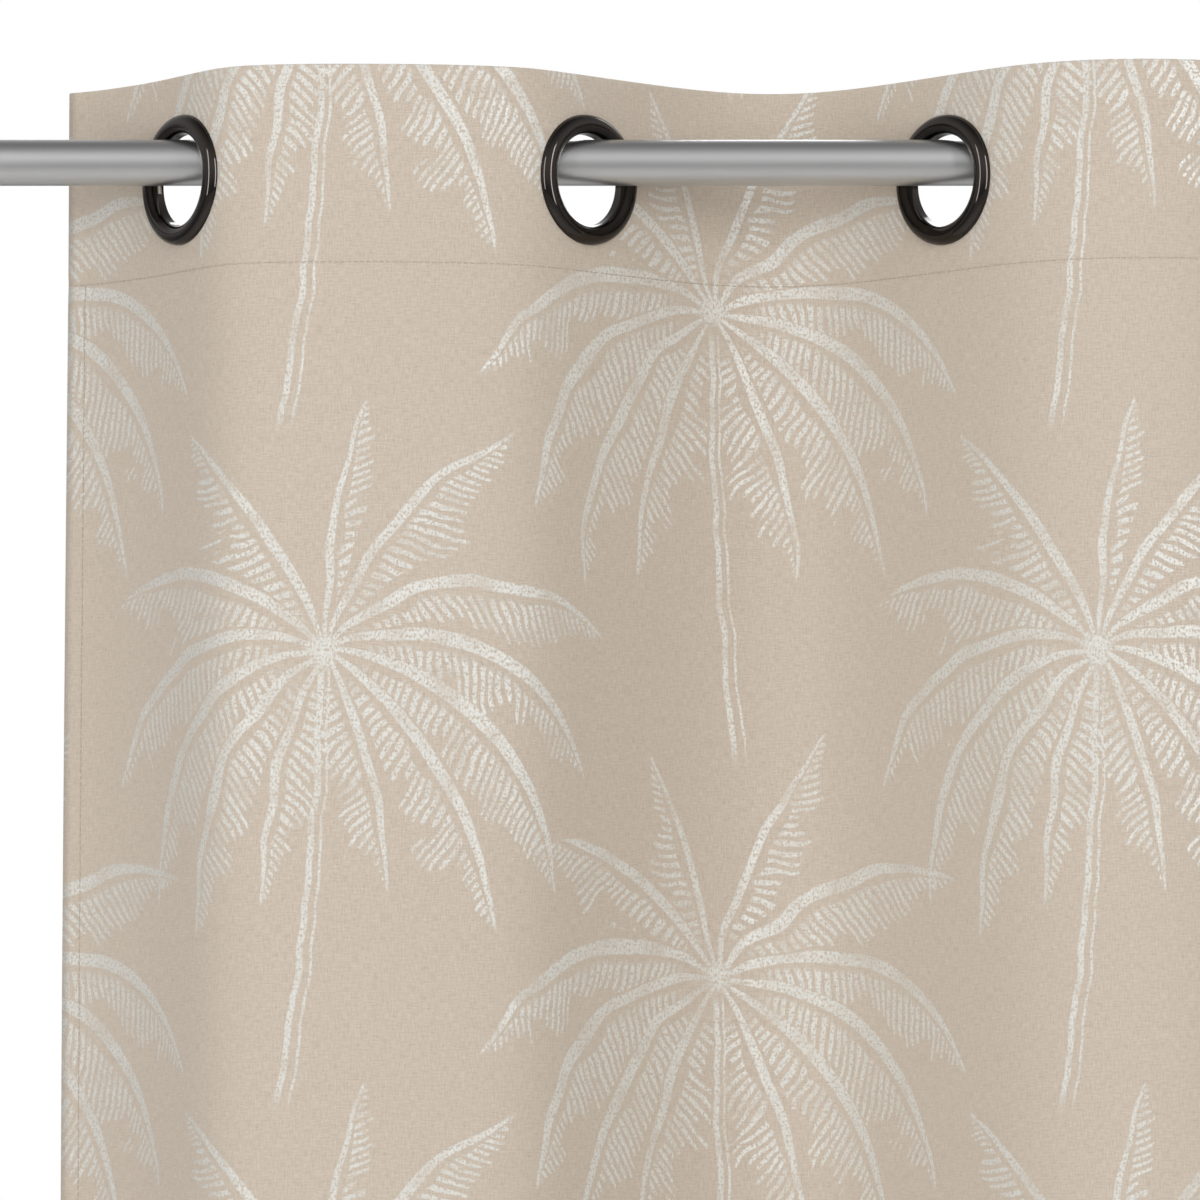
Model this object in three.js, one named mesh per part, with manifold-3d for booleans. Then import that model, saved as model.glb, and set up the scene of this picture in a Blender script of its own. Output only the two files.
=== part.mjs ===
// An eyelet curtain on a wall-mounted rod.
//
// Millimetres. +X runs along the rod, +Y points to the wall, +Z is up.
// The origin lies on the wall, midway between the two brackets and level with the rod's axis.
//
// The rod rests in two open cradles. The curtain hangs from it by eyelets, so the cloth passes
// from one side of the rod to the other at each eyelet and stands in upright folds between them.
// The cloth and its stiffened heading are cut into one strip per fold, because each fold closes
// up by itself as its two eyelets are pushed together.

import * as THREE from 'three';
import { mergeVertices } from 'three/addons/utils/BufferGeometryUtils.js';
import Module from 'manifold-3d';

const wasm = await Module();
wasm.setup();

// ---------------------------------------------------------------- driving dimensions

// Clearances
const FACE_GAP = 0.3; // between two parts that lie against each other
const ROD_GAP = 0.4; // least gap between the rod and an eyelet's bore
const RIDE_GAP = 2.4; // above the rod, in the top of an eyelet that rides on its shoulders

// Rod
const ROD_RADIUS = 10;
const ROD_WALL = 1;
const ROD_PROJECTION = 100; // from the wall to the rod's axis
const ROD_OVERHANG = 80; // past the middle of each bracket
const BRACKET_STEP = 20; // the brackets stand a multiple of this apart

// Wall plate of a bracket
const PLATE_RADIUS = 22;
const PLATE_THICKNESS = 4;
const PLATE_HOLE_RADIUS = 2.5;
const PLATE_HOLE_OFFSET = 14;

// Arm of a bracket
const ARM_RADIUS = 6;

// Cover over the wall plate, with a collar round the arm and a grub screw in the collar
const COVER_RIM_GAP = 0.5; // from the wall
const COVER_DEPTH = 12;
const COVER_WALL = 1.5;
const COVER_ROOM = 3.5; // round the wall plate
const COVER_SHOULDER = 3; // bevel between the rim and the front
const COLLAR_WALL = 3.2;
const COLLAR_LENGTH = 9;
const GRUB_RADIUS = 2;
const GRUB_SOCKET_RADIUS = 1.1;
const GRUB_SOCKET_DEPTH = 1.6;

// Cradle that the rod rests in
const CRADLE_WALL = 3;
const CRADLE_WIDTH = 14;
const CRADLE_BACK_HEIGHT = 10; // above the rod's axis
const CRADLE_PAD_DROP = 8; // below the rod's axis, where the arm meets the cradle
const CRADLE_LIP_ANGLE = THREE.MathUtils.degToRad(10); // front lip, below the rod's axis
const CRADLE_PAD_ANGLE = THREE.MathUtils.degToRad(50); // where the pad leaves the round back

// Thumb screw under a cradle
const THUMB_SHANK_RADIUS = 2.5;
const THUMB_HEAD_RADIUS = 6;
const THUMB_HEAD_HEIGHT = 7;
const THUMB_HEAD_DROP = 1.5; // of bare shank below the cradle
const THUMB_FLUTES = 12;
const THUMB_FLUTE_DEPTH = 0.35;

// Finials and the inserts that hold them in the rod's ends
const FINIAL_COLLAR_RADIUS = 11.5;
const FINIAL_COLLAR_LENGTH = 4;
const FINIAL_NECK_RADIUS = 8;
const FINIAL_NECK_LENGTH = 3;
const FINIAL_HEAD_RADIUS = 14.5;
const FINIAL_HEAD_LENGTH = 30;
const FINIAL_DOME_HEIGHT = 4;
const FINIAL_EDGE = 1.2; // bevel at the head's back edge
const INSERT_LENGTH = 30;

// Eyelets: a domed front ring whose barrel passes through the cloth into a flatter back ring
const BORE_RADIUS = 20;
const FRONT_FLANGE_WIDTH = 8.5;
const FRONT_DOME_HEIGHT = 4;
const BACK_FLANGE_WIDTH = 6.5;
const BACK_DOME_HEIGHT = 2.5;
const BARREL_WALL = 1.2;
const BARREL_REACH = 0.9; // of the barrel into the back ring
const CUT_HOLE_GAP = 0.5; // from the barrel to the hole in the cloth

// Curtain
const CURTAIN_HEIGHT = 2450;
const CLOTH_THICKNESS = 0.7;
const HEADING_THICKNESS = 1;
const HEADING_HEIGHT = 85;
const EYELET_PITCH = 200; // along the cloth
const GRIP_MARGIN = 0.5; // of flat cloth round a front ring
const EYELET_BELOW_TOP = 45; // from the top edge to an eyelet's centre
const END_ALLOWANCE = 77; // of cloth past the first and last eyelet
const END_CURL = THREE.MathUtils.degToRad(28); // by which that cloth curls round to the rod's line
const LEFT_ROOM = 80; // from the curtain's left edge to the left bracket
const LEAST_RIGHT_ROOM = 110; // from its right edge to the right bracket

// How far each eyelet is turned past the least turn that lets the rod through it, in degrees
const EXTRA_TURNS = [10, 0, 4, 6, 4, 5, 7, 5];
// How far each fold carries on along its eyelets before it bends, as a share of the bend's width
const FOLD_HANDLES = [0.17, 0.59, 0.4, 0.42, 0.38, 0.41, 0.43];

// Facets
const ROD_SIDES = 24;
const ROUND_SIDES = 24;
const SCREW_SIDES = 16;
const FOLD_STEPS = 14;
const END_STEPS = 6;
const DOME_STEPS = 4;

// ---------------------------------------------------------------- materials

const satinSteel = { color: 0x9c9b9a, metalness: 0.9, roughness: 0.38 };
const blackNickel = { color: 0x3b3734, metalness: 1, roughness: 0.12 };
const wovenCloth = { color: 0xc4b49f, metalness: 0, roughness: 0.85 };
const stiffener = { color: 0xd8d2c6, metalness: 0, roughness: 0.9 };
const paintedSteel = { color: 0x9b9a98, metalness: 0.6, roughness: 0.45 };
const zincSteel = { color: 0x8f8f90, metalness: 0.9, roughness: 0.35 };
const blackPlastic = { color: 0x2a2a2a, metalness: 0, roughness: 0.6 };

// ---------------------------------------------------------------- solids

/** Six times the volume that a triangle list encloses, positive when its faces point out. */
function signedVolume(points, triangles) {
  const [a, b, c] = [new THREE.Vector3(), new THREE.Vector3(), new THREE.Vector3()];
  let sum = 0;
  for (let i = 0; i < triangles.length; i += 3) {
    a.fromArray(points, triangles[i] * 3);
    b.fromArray(points, triangles[i + 1] * 3);
    c.fromArray(points, triangles[i + 2] * 3);
    sum += a.dot(b.cross(c));
  }
  return sum;
}

/** A closed three.js geometry as a solid, with its faces turned out. */
function solidFrom(geometry) {
  const bare = geometry.clone();
  bare.deleteAttribute('normal');
  bare.deleteAttribute('uv');
  const merged = mergeVertices(bare, 1e-4);
  const points = merged.getAttribute('position').array;
  const triangles = [];
  const index = merged.index.array;
  for (let i = 0; i < index.length; i += 3) {
    const corners = [index[i], index[i + 1], index[i + 2]];
    if (new Set(corners).size === 3) triangles.push(...corners);
  }
  if (signedVolume(points, triangles) < 0) triangles.reverse();
  const mesh = new wasm.Mesh({
    numProp: 3,
    vertProperties: new Float32Array(points),
    triVerts: new Uint32Array(triangles),
  });
  return new wasm.Manifold(mesh);
}

/** A solid as a three.js geometry. */
function geometryFrom(solid) {
  const { vertProperties, triVerts } = solid.getMesh();
  const geometry = new THREE.BufferGeometry();
  geometry.setAttribute('position', new THREE.BufferAttribute(new Float32Array(vertProperties), 3));
  geometry.setIndex(new THREE.BufferAttribute(new Uint32Array(triVerts), 1));
  geometry.computeVertexNormals();
  return geometry;
}

/** A round bar along +Y, from one y to another. */
function bar(radius, fromY, toY, sides) {
  const geometry = new THREE.CylinderGeometry(radius, radius, toY - fromY, sides);
  return geometry.translate(0, (fromY + toY) / 2, 0);
}

/** The same bar standing along +Z. */
function post(radius, fromZ, toZ, sides) {
  return bar(radius, fromZ, toZ, sides).rotateX(Math.PI / 2);
}

/** A profile of [radius, y] points turned about the Y axis. It is closed or ends on the axis. */
function turned(profile, sides) {
  const points = profile.map(([radius, y]) => new THREE.Vector2(radius, y));
  return new THREE.LatheGeometry(points, sides);
}

/** The profile of a ring between two radii, with a half-round dome from baseY to baseY + height. */
function domedRing(innerRadius, outerRadius, baseY, height) {
  const middle = (innerRadius + outerRadius) / 2;
  const half = (outerRadius - innerRadius) / 2;
  const profile = [];
  for (let i = 0; i <= DOME_STEPS; i += 1) {
    const angle = (Math.PI * i) / DOME_STEPS;
    profile.push([middle + half * Math.cos(angle), baseY + height * Math.sin(angle)]);
  }
  return profile;
}

const assembly = new THREE.Group();

/** Adds a named part to a group. */
function addPart(group, name, geometry, look) {
  const part = new THREE.Mesh(geometry, new THREE.MeshStandardMaterial(look));
  part.name = name;
  group.add(part);
  return part;
}

// ---------------------------------------------------------------- how the eyelets sit on the rod

// Layers in an eyelet's grip, measured from the middle of the grip towards the room
const gripThickness = CLOTH_THICKNESS + FACE_GAP + HEADING_THICKNESS;
const clothFront = gripThickness / 2;
const clothBack = clothFront - CLOTH_THICKNESS;
const headingFront = clothBack - FACE_GAP;
const headingBack = headingFront - HEADING_THICKNESS;
const flangeOffset = gripThickness / 2 + FACE_GAP;
const boreHalfLength = flangeOffset + BARREL_REACH;

const hang = BORE_RADIUS - ROD_RADIUS - RIDE_GAP; // of an eyelet's centre below the rod's axis

// Radius and distance from the grip's middle of each edge that the rod could touch in an eyelet
const boreEdges = [
  [BORE_RADIUS, boreHalfLength],
  ...domedRing(BORE_RADIUS, BORE_RADIUS + FRONT_FLANGE_WIDTH, flangeOffset, FRONT_DOME_HEIGHT),
];

/** Whether the rod clears the bore of an eyelet turned this far from facing the room. */
function rodClears(turn) {
  const skew = Math.PI / 2 - turn;
  for (let i = 0; i <= 90; i += 1) {
    const angle = THREE.MathUtils.degToRad(i);
    const middle = (ROD_RADIUS * Math.cos(angle)) / Math.cos(skew);
    const upwards = hang + ROD_RADIUS * Math.sin(angle);
    for (const [radius, distance] of boreEdges) {
      const sideways = middle + distance * Math.tan(skew);
      if (Math.hypot(sideways, upwards) > radius - ROD_GAP) return false;
    }
  }
  return true;
}

/** The least turn from facing the room at which the rod still passes through an eyelet. */
function leastTurn() {
  let blocked = 0;
  let clear = Math.PI / 2;
  for (let i = 0; i < 40; i += 1) {
    const middle = (blocked + clear) / 2;
    if (rodClears(middle)) clear = middle;
    else blocked = middle;
  }
  return clear;
}

const tightTurn = leastTurn();
const turns = EXTRA_TURNS.map((extra) => tightTurn + THREE.MathUtils.degToRad(extra));
const foldCount = FOLD_HANDLES.length;
const lastEyelet = foldCount;

// ---------------------------------------------------------------- the cloth's path along the rod

// The cloth lies flat under an eyelet's flange and curves from one eyelet's grip to the next
const flatReach = BORE_RADIUS + FRONT_FLANGE_WIDTH + GRIP_MARGIN;

/** -1 where fold i lies on the room side of the rod, 1 where it lies on the wall side. */
function sideOf(fold) {
  return fold % 2 === 0 ? -1 : 1;
}

/** The curve between the flat parts of a fold, from its left eyelet's centre, seen from above. */
function foldCurve(fold, width) {
  const side = sideOf(fold);
  const [left, right] = [turns[fold], turns[fold + 1]];
  const handle = FOLD_HANDLES[fold] * width;
  const start = new THREE.Vector2(Math.cos(left), side * Math.sin(left));
  const end = new THREE.Vector2(Math.cos(right), -side * Math.sin(right));
  const from = start.clone().multiplyScalar(flatReach);
  const to = new THREE.Vector2(from.x + width, side * flatReach * Math.sin(right));
  const leaving = from.clone().addScaledVector(start, handle);
  const arriving = to.clone().addScaledVector(end, -handle);
  return new THREE.CubicBezierCurve(from, leaving, arriving, to);
}

/** The width of that curve at which the fold's cloth measures one eyelet pitch. */
function curveWidth(fold) {
  const wanted = EYELET_PITCH - 2 * flatReach;
  let narrow = 0;
  let wide = wanted;
  for (let i = 0; i < 40; i += 1) {
    const middle = (narrow + wide) / 2;
    if (foldCurve(fold, middle).getLength() > wanted) wide = middle;
    else narrow = middle;
  }
  return narrow;
}

/** Where the end cloth lies at a distance along it from its eyelet: outwards, wallwards, angle. */
function endCloth(turn, distance) {
  const flat = Math.min(distance, flatReach);
  const bend = (END_ALLOWANCE - flatReach) / END_CURL;
  const angle = turn - (distance - flat) / bend;
  const outwards = flat * Math.cos(turn) + bend * (Math.sin(turn) - Math.sin(angle));
  const wallwards = flat * Math.sin(turn) + bend * (Math.cos(angle) - Math.cos(turn));
  return { outwards, wallwards, angle };
}

const curveWidths = FOLD_HANDLES.map((_, fold) => curveWidth(fold));
const foldWidths = curveWidths.map((width, fold) => (
  width + flatReach * (Math.cos(turns[fold]) + Math.cos(turns[fold + 1]))
));
const leftEnd = endCloth(turns[0], END_ALLOWANCE).outwards;
const rightEnd = endCloth(turns[lastEyelet], END_ALLOWANCE).outwards;
const hungWidth = leftEnd + foldWidths.reduce((sum, width) => sum + width, 0) + rightEnd;
const leastSpacing = LEFT_ROOM + hungWidth + LEAST_RIGHT_ROOM;
const bracketSpacing = Math.ceil(leastSpacing / BRACKET_STEP) * BRACKET_STEP;
const rodLength = bracketSpacing + 2 * ROD_OVERHANG;

const eyeletX = [-bracketSpacing / 2 + LEFT_ROOM + leftEnd];
for (const width of foldWidths) eyeletX.push(eyeletX.at(-1) + width);

const curtainTop = EYELET_BELOW_TOP - hang;

/** A point of the cloth's path with the unit vector along the path, both seen from above. */
function pathPoint(x, depth, along) {
  return { at: new THREE.Vector2(x, depth - ROD_PROJECTION), along };
}

/** The angle of the cloth at an eyelet, from the rod's line towards the wall. */
function eyeletAngle(eyelet) {
  return sideOf(eyelet) * turns[eyelet];
}

/** The point at a distance along the flat cloth at an eyelet, negative to its left. */
function flatPoint(eyelet, distance) {
  const angle = eyeletAngle(eyelet);
  const along = new THREE.Vector2(Math.cos(angle), Math.sin(angle));
  return pathPoint(eyeletX[eyelet] + distance * along.x, distance * along.y, along);
}

/** The path of one fold, stopping half a gap short of the eyelet centres it shares with others. */
function foldPath(fold) {
  const curve = foldCurve(fold, curveWidths[fold]);
  const path = [flatPoint(fold, fold === 0 ? 0 : FACE_GAP / 2)];
  for (let i = 0; i <= FOLD_STEPS; i += 1) {
    const place = curve.getPoint(i / FOLD_STEPS);
    path.push(pathPoint(eyeletX[fold] + place.x, place.y, curve.getTangent(i / FOLD_STEPS)));
  }
  path.push(flatPoint(fold + 1, fold === foldCount - 1 ? 0 : -FACE_GAP / 2));
  return path;
}

/** The path of the cloth past the first eyelet (side -1) or the last (side 1), going outwards. */
function endPath(side) {
  const eyelet = side < 0 ? 0 : lastEyelet;
  const path = [];
  for (let i = 0; i <= END_STEPS; i += 1) {
    const distance = flatReach + ((END_ALLOWANCE - flatReach) * i) / END_STEPS;
    const place = endCloth(turns[eyelet], distance);
    const angle = side * place.angle;
    const along = new THREE.Vector2(Math.cos(angle), Math.sin(angle));
    path.push(pathPoint(eyeletX[eyelet] + side * place.outwards, place.wallwards, along));
  }
  return path;
}

/** The path of one strip: a fold, with the end cloth on the first and last one. */
function stripPath(fold) {
  const path = foldPath(fold);
  if (fold === 0) path.unshift(...endPath(-1).reverse());
  if (fold === foldCount - 1) path.push(...endPath(1));
  return path;
}

/** An upright sheet along a path, between two offsets towards the room and two heights. */
function sheet(path, backOffset, frontOffset, bottomZ, topZ) {
  const beside = ({ at, along }, offset) => new THREE.Vector2(
    at.x + along.y * offset,
    at.y - along.x * offset,
  );
  const front = path.map((place) => beside(place, frontOffset));
  const back = path.map((place) => beside(place, backOffset)).reverse();
  const outline = new THREE.Shape([...front, ...back]);
  const geometry = new THREE.ExtrudeGeometry(outline, { depth: topZ - bottomZ, bevelEnabled: false });
  return geometry.translate(0, 0, bottomZ);
}

/** The unit vector that an eyelet's front ring faces along. */
function eyeletFacing(eyelet) {
  const angle = eyeletAngle(eyelet);
  return new THREE.Vector3(Math.sin(angle), -Math.cos(angle), 0);
}

/** Places what is built along +Y at an eyelet, facing the room through the cloth. */
function atEyelet(object, eyelet) {
  object.position.set(eyeletX[eyelet], -ROD_PROJECTION, -hang);
  object.quaternion.setFromUnitVectors(new THREE.Vector3(0, 1, 0), eyeletFacing(eyelet));
  object.updateMatrix();
  return object;
}

// ---------------------------------------------------------------- curtain

const barrelRadius = BORE_RADIUS + BARREL_WALL;
const cutHoleRadius = barrelRadius + CUT_HOLE_GAP;

/** The hole that is cut for an eyelet. */
function eyeletHole(eyelet) {
  const cut = bar(cutHoleRadius, -2 * flangeOffset, 2 * flangeOffset, ROUND_SIDES);
  const placed = atEyelet(new THREE.Object3D(), eyelet);
  return solidFrom(cut.applyMatrix4(placed.matrix));
}

/** A strip of cloth or heading over one fold, with the holes for its eyelets. */
function strip(fold, backOffset, frontOffset, bottomZ) {
  const whole = solidFrom(sheet(stripPath(fold), backOffset, frontOffset, bottomZ, curtainTop));
  return geometryFrom(whole.subtract(eyeletHole(fold)).subtract(eyeletHole(fold + 1)));
}

function addCurtain() {
  for (let fold = 0; fold < foldCount; fold += 1) {
    const cloth = strip(fold, clothBack, clothFront, curtainTop - CURTAIN_HEIGHT);
    const heading = strip(fold, headingBack, headingFront, curtainTop - HEADING_HEIGHT);
    addPart(assembly, `cloth_fold_${fold + 1}`, cloth, wovenCloth);
    addPart(assembly, `heading_band_${fold + 1}`, heading, stiffener);
  }
}

// ---------------------------------------------------------------- eyelets

const cornerOverFlat = 1 / Math.cos(Math.PI / ROUND_SIDES); // so that flats keep the bore's radius

/** Front ring: a dome on the room side and a barrel that passes through the cloth. */
function frontRing() {
  const bore = BORE_RADIUS * cornerOverFlat;
  const outer = BORE_RADIUS + FRONT_FLANGE_WIDTH;
  const profile = domedRing(bore, outer, flangeOffset, FRONT_DOME_HEIGHT);
  profile.push([bore, -boreHalfLength]);
  profile.push([barrelRadius, -boreHalfLength]);
  profile.push([barrelRadius, flangeOffset]);
  profile.push(profile[0]);
  return geometryFrom(solidFrom(turned(profile, ROUND_SIDES)));
}

/** Back ring: a flatter dome on the wall side, round the end of the barrel. */
function backRing() {
  const inner = (barrelRadius + FACE_GAP) * cornerOverFlat;
  const profile = domedRing(inner, inner + BACK_FLANGE_WIDTH, 0, BACK_DOME_HEIGHT);
  const wallwards = profile.map(([radius, y]) => [radius, -flangeOffset - y]);
  wallwards.push(wallwards[0]);
  return geometryFrom(solidFrom(turned(wallwards, ROUND_SIDES)));
}

function addEyelets() {
  for (let eyelet = 0; eyelet <= lastEyelet; eyelet += 1) {
    atEyelet(addPart(assembly, `eyelet_front_${eyelet + 1}`, frontRing(), blackNickel), eyelet);
    atEyelet(addPart(assembly, `eyelet_back_${eyelet + 1}`, backRing(), blackNickel), eyelet);
  }
}

// ---------------------------------------------------------------- rod and finials

const boreOfRod = ROD_RADIUS - ROD_WALL;

/** Turns what is built along +Y to lie along the rod. */
function alongRod(part, side) {
  part.rotation.z = (-side * Math.PI) / 2;
  return part;
}

function addRod(group) {
  const half = rodLength / 2;
  const profile = [
    [ROD_RADIUS, -half],
    [ROD_RADIUS, half],
    [boreOfRod, half],
    [boreOfRod, -half],
    [ROD_RADIUS, -half],
  ];
  alongRod(addPart(group, 'rod_tube', turned(profile, ROD_SIDES), satinSteel), 1);
}

/** Finial: a collar against the rod's end, a neck and a drum with a domed end. */
function finial() {
  const neck = FACE_GAP + FINIAL_COLLAR_LENGTH;
  const head = neck + FINIAL_NECK_LENGTH;
  const domeBase = head + FINIAL_HEAD_LENGTH;
  const profile = [
    [0, FACE_GAP],
    [FINIAL_COLLAR_RADIUS, FACE_GAP],
    [FINIAL_COLLAR_RADIUS, neck],
    [FINIAL_NECK_RADIUS, neck],
    [FINIAL_NECK_RADIUS, head],
    [FINIAL_HEAD_RADIUS - FINIAL_EDGE, head],
    [FINIAL_HEAD_RADIUS, head + FINIAL_EDGE],
  ];
  for (let i = 0; i <= DOME_STEPS; i += 1) {
    const angle = (Math.PI / 2) * (i / DOME_STEPS);
    const radius = i === DOME_STEPS ? 0 : FINIAL_HEAD_RADIUS * Math.cos(angle);
    profile.push([radius, domeBase + FINIAL_DOME_HEIGHT * Math.sin(angle)]);
  }
  return geometryFrom(solidFrom(turned(profile, ROD_SIDES)));
}

function addFinials(group) {
  for (const [name, side] of [['left', -1], ['right', 1]]) {
    const end = new THREE.Group();
    end.position.x = (side * rodLength) / 2;
    group.add(end);
    const insert = bar(boreOfRod - FACE_GAP, -INSERT_LENGTH, 0, ROUND_SIDES);
    alongRod(addPart(end, `finial_${name}`, finial(), satinSteel), side);
    alongRod(addPart(end, `finial_insert_${name}`, insert, blackPlastic), side);
  }
}

// ---------------------------------------------------------------- brackets

const cradleInner = ROD_RADIUS + FACE_GAP;
const cradleOuter = cradleInner + CRADLE_WALL;
const armEnd = ROD_PROJECTION - cradleOuter - FACE_GAP;

/** Wall plate: a disc with its back on the wall and two screw holes, one above the other. */
function wallPlate() {
  let plate = solidFrom(bar(PLATE_RADIUS, -PLATE_THICKNESS, 0, ROD_SIDES));
  for (const side of [-1, 1]) {
    const hole = bar(PLATE_HOLE_RADIUS, -2 * PLATE_THICKNESS, PLATE_THICKNESS, SCREW_SIDES);
    plate = plate.subtract(solidFrom(hole.translate(0, 0, side * PLATE_HOLE_OFFSET)));
  }
  return geometryFrom(plate);
}

/** Cover: a shallow cup over the wall plate with a collar round the arm. */
function cover() {
  const inner = PLATE_RADIUS + COVER_ROOM;
  const outer = inner + COVER_WALL;
  const armHole = ARM_RADIUS + FACE_GAP;
  const collar = armHole + COLLAR_WALL;
  const innerFront = COVER_DEPTH - COVER_WALL;
  const profile = [
    [inner, COVER_RIM_GAP],
    [outer, COVER_RIM_GAP],
    [outer, COVER_DEPTH - COVER_SHOULDER],
    [outer - COVER_SHOULDER, COVER_DEPTH],
    [collar, COVER_DEPTH],
    [collar, COVER_DEPTH + COLLAR_LENGTH],
    [armHole, COVER_DEPTH + COLLAR_LENGTH],
    [armHole, innerFront],
    [inner - COVER_SHOULDER, innerFront],
    [inner, innerFront - COVER_SHOULDER],
    [inner, COVER_RIM_GAP],
  ];
  const towardsRoom = profile.map(([radius, y]) => [radius, -y]);
  const hole = post(GRUB_RADIUS + FACE_GAP, -2 * collar, 0, SCREW_SIDES).translate(0, grubY, 0);
  return geometryFrom(solidFrom(turned(towardsRoom, ROD_SIDES)).subtract(solidFrom(hole)));
}

const grubY = -(COVER_DEPTH + COLLAR_LENGTH / 2);

/** Grub screw: it stands in the collar's underside and has a hexagon socket in its foot. */
function grubScrew() {
  const top = -(ARM_RADIUS + FACE_GAP);
  const foot = top - COLLAR_WALL;
  const body = solidFrom(post(GRUB_RADIUS, foot, top, SCREW_SIDES));
  const socket = solidFrom(post(GRUB_SOCKET_RADIUS, foot - 1, foot + GRUB_SOCKET_DEPTH, 6));
  return geometryFrom(body.subtract(socket).translate([0, grubY, 0]));
}

/** Cradle: a hook that is open at the top, with a pad on its back for the arm's end. */
function cradle() {
  const lip = -Math.PI + CRADLE_LIP_ANGLE;
  const outline = new THREE.Shape();
  outline.moveTo(cradleInner, CRADLE_BACK_HEIGHT);
  outline.lineTo(cradleInner, 0);
  outline.absarc(0, 0, cradleInner, 0, lip, true);
  outline.absarc(0, 0, cradleOuter, lip, -CRADLE_PAD_ANGLE, false);
  outline.lineTo(cradleOuter, -CRADLE_PAD_DROP);
  outline.lineTo(cradleOuter, CRADLE_BACK_HEIGHT);
  const geometry = new THREE.ExtrudeGeometry(outline, {
    depth: CRADLE_WIDTH,
    bevelEnabled: false,
    curveSegments: SCREW_SIDES,
  });
  geometry.translate(0, 0, -CRADLE_WIDTH / 2);
  geometry.rotateX(Math.PI / 2).rotateZ(Math.PI / 2);
  const hole = post(THUMB_SHANK_RADIUS + FACE_GAP, -2 * cradleOuter, -ROD_RADIUS / 2, SCREW_SIDES);
  return geometryFrom(solidFrom(geometry).subtract(solidFrom(hole)));
}

/** Thumb screw: its shank stands in the cradle's underside, just short of the rod. */
function thumbScrew() {
  const headTop = -(cradleOuter + THUMB_HEAD_DROP);
  const outline = new THREE.Shape();
  const points = THUMB_FLUTES * 4;
  for (let i = 0; i < points; i += 1) {
    const angle = (2 * Math.PI * i) / points;
    const radius = THUMB_HEAD_RADIUS + THUMB_FLUTE_DEPTH * Math.cos(THUMB_FLUTES * angle);
    const place = new THREE.Vector2(radius * Math.cos(angle), radius * Math.sin(angle));
    if (i === 0) outline.moveTo(place.x, place.y);
    else outline.lineTo(place.x, place.y);
  }
  const head = new THREE.ExtrudeGeometry(outline, { depth: THUMB_HEAD_HEIGHT, bevelEnabled: false });
  head.translate(0, 0, headTop - THUMB_HEAD_HEIGHT);
  const shankTop = -(ROD_RADIUS + FACE_GAP);
  const shank = post(THUMB_SHANK_RADIUS, headTop - THUMB_HEAD_HEIGHT / 2, shankTop, SCREW_SIDES);
  return geometryFrom(solidFrom(head).add(solidFrom(shank)));
}

function addBrackets(group) {
  for (const [name, side] of [['left', -1], ['right', 1]]) {
    const bracket = new THREE.Group();
    bracket.position.x = (side * bracketSpacing) / 2;
    group.add(bracket);
    const arm = bar(ARM_RADIUS, -armEnd, -(PLATE_THICKNESS + FACE_GAP), ROUND_SIDES);
    addPart(bracket, `wall_plate_${name}`, wallPlate(), zincSteel);
    addPart(bracket, `plate_cover_${name}`, cover(), satinSteel);
    addPart(bracket, `cover_grub_screw_${name}`, grubScrew(), zincSteel);
    addPart(bracket, `bracket_arm_${name}`, arm, paintedSteel);
    const atRod = new THREE.Group();
    atRod.position.y = -ROD_PROJECTION;
    bracket.add(atRod);
    addPart(atRod, `rod_cradle_${name}`, cradle(), paintedSteel);
    addPart(atRod, `thumb_screw_${name}`, thumbScrew(), zincSteel);
  }
}

// ---------------------------------------------------------------- assembly

const rodGroup = new THREE.Group();
rodGroup.position.y = -ROD_PROJECTION;
assembly.add(rodGroup);

addBrackets(assembly);
addRod(rodGroup);
addFinials(rodGroup);
addEyelets();
addCurtain();

export default assembly;
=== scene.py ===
"""An eyelet curtain of palm jacquard on a satin steel rod, with its brackets and finials.

Metres. +X runs along the rod, +Y points to the wall, +Z is up. The places of all pieces come
from the frame's own parts: the eyelets give the cloth its grips, the cloth parts its path.
"""

import math

import bmesh
import bpy
import numpy as np
from mathutils import Matrix, Vector, noise


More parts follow.
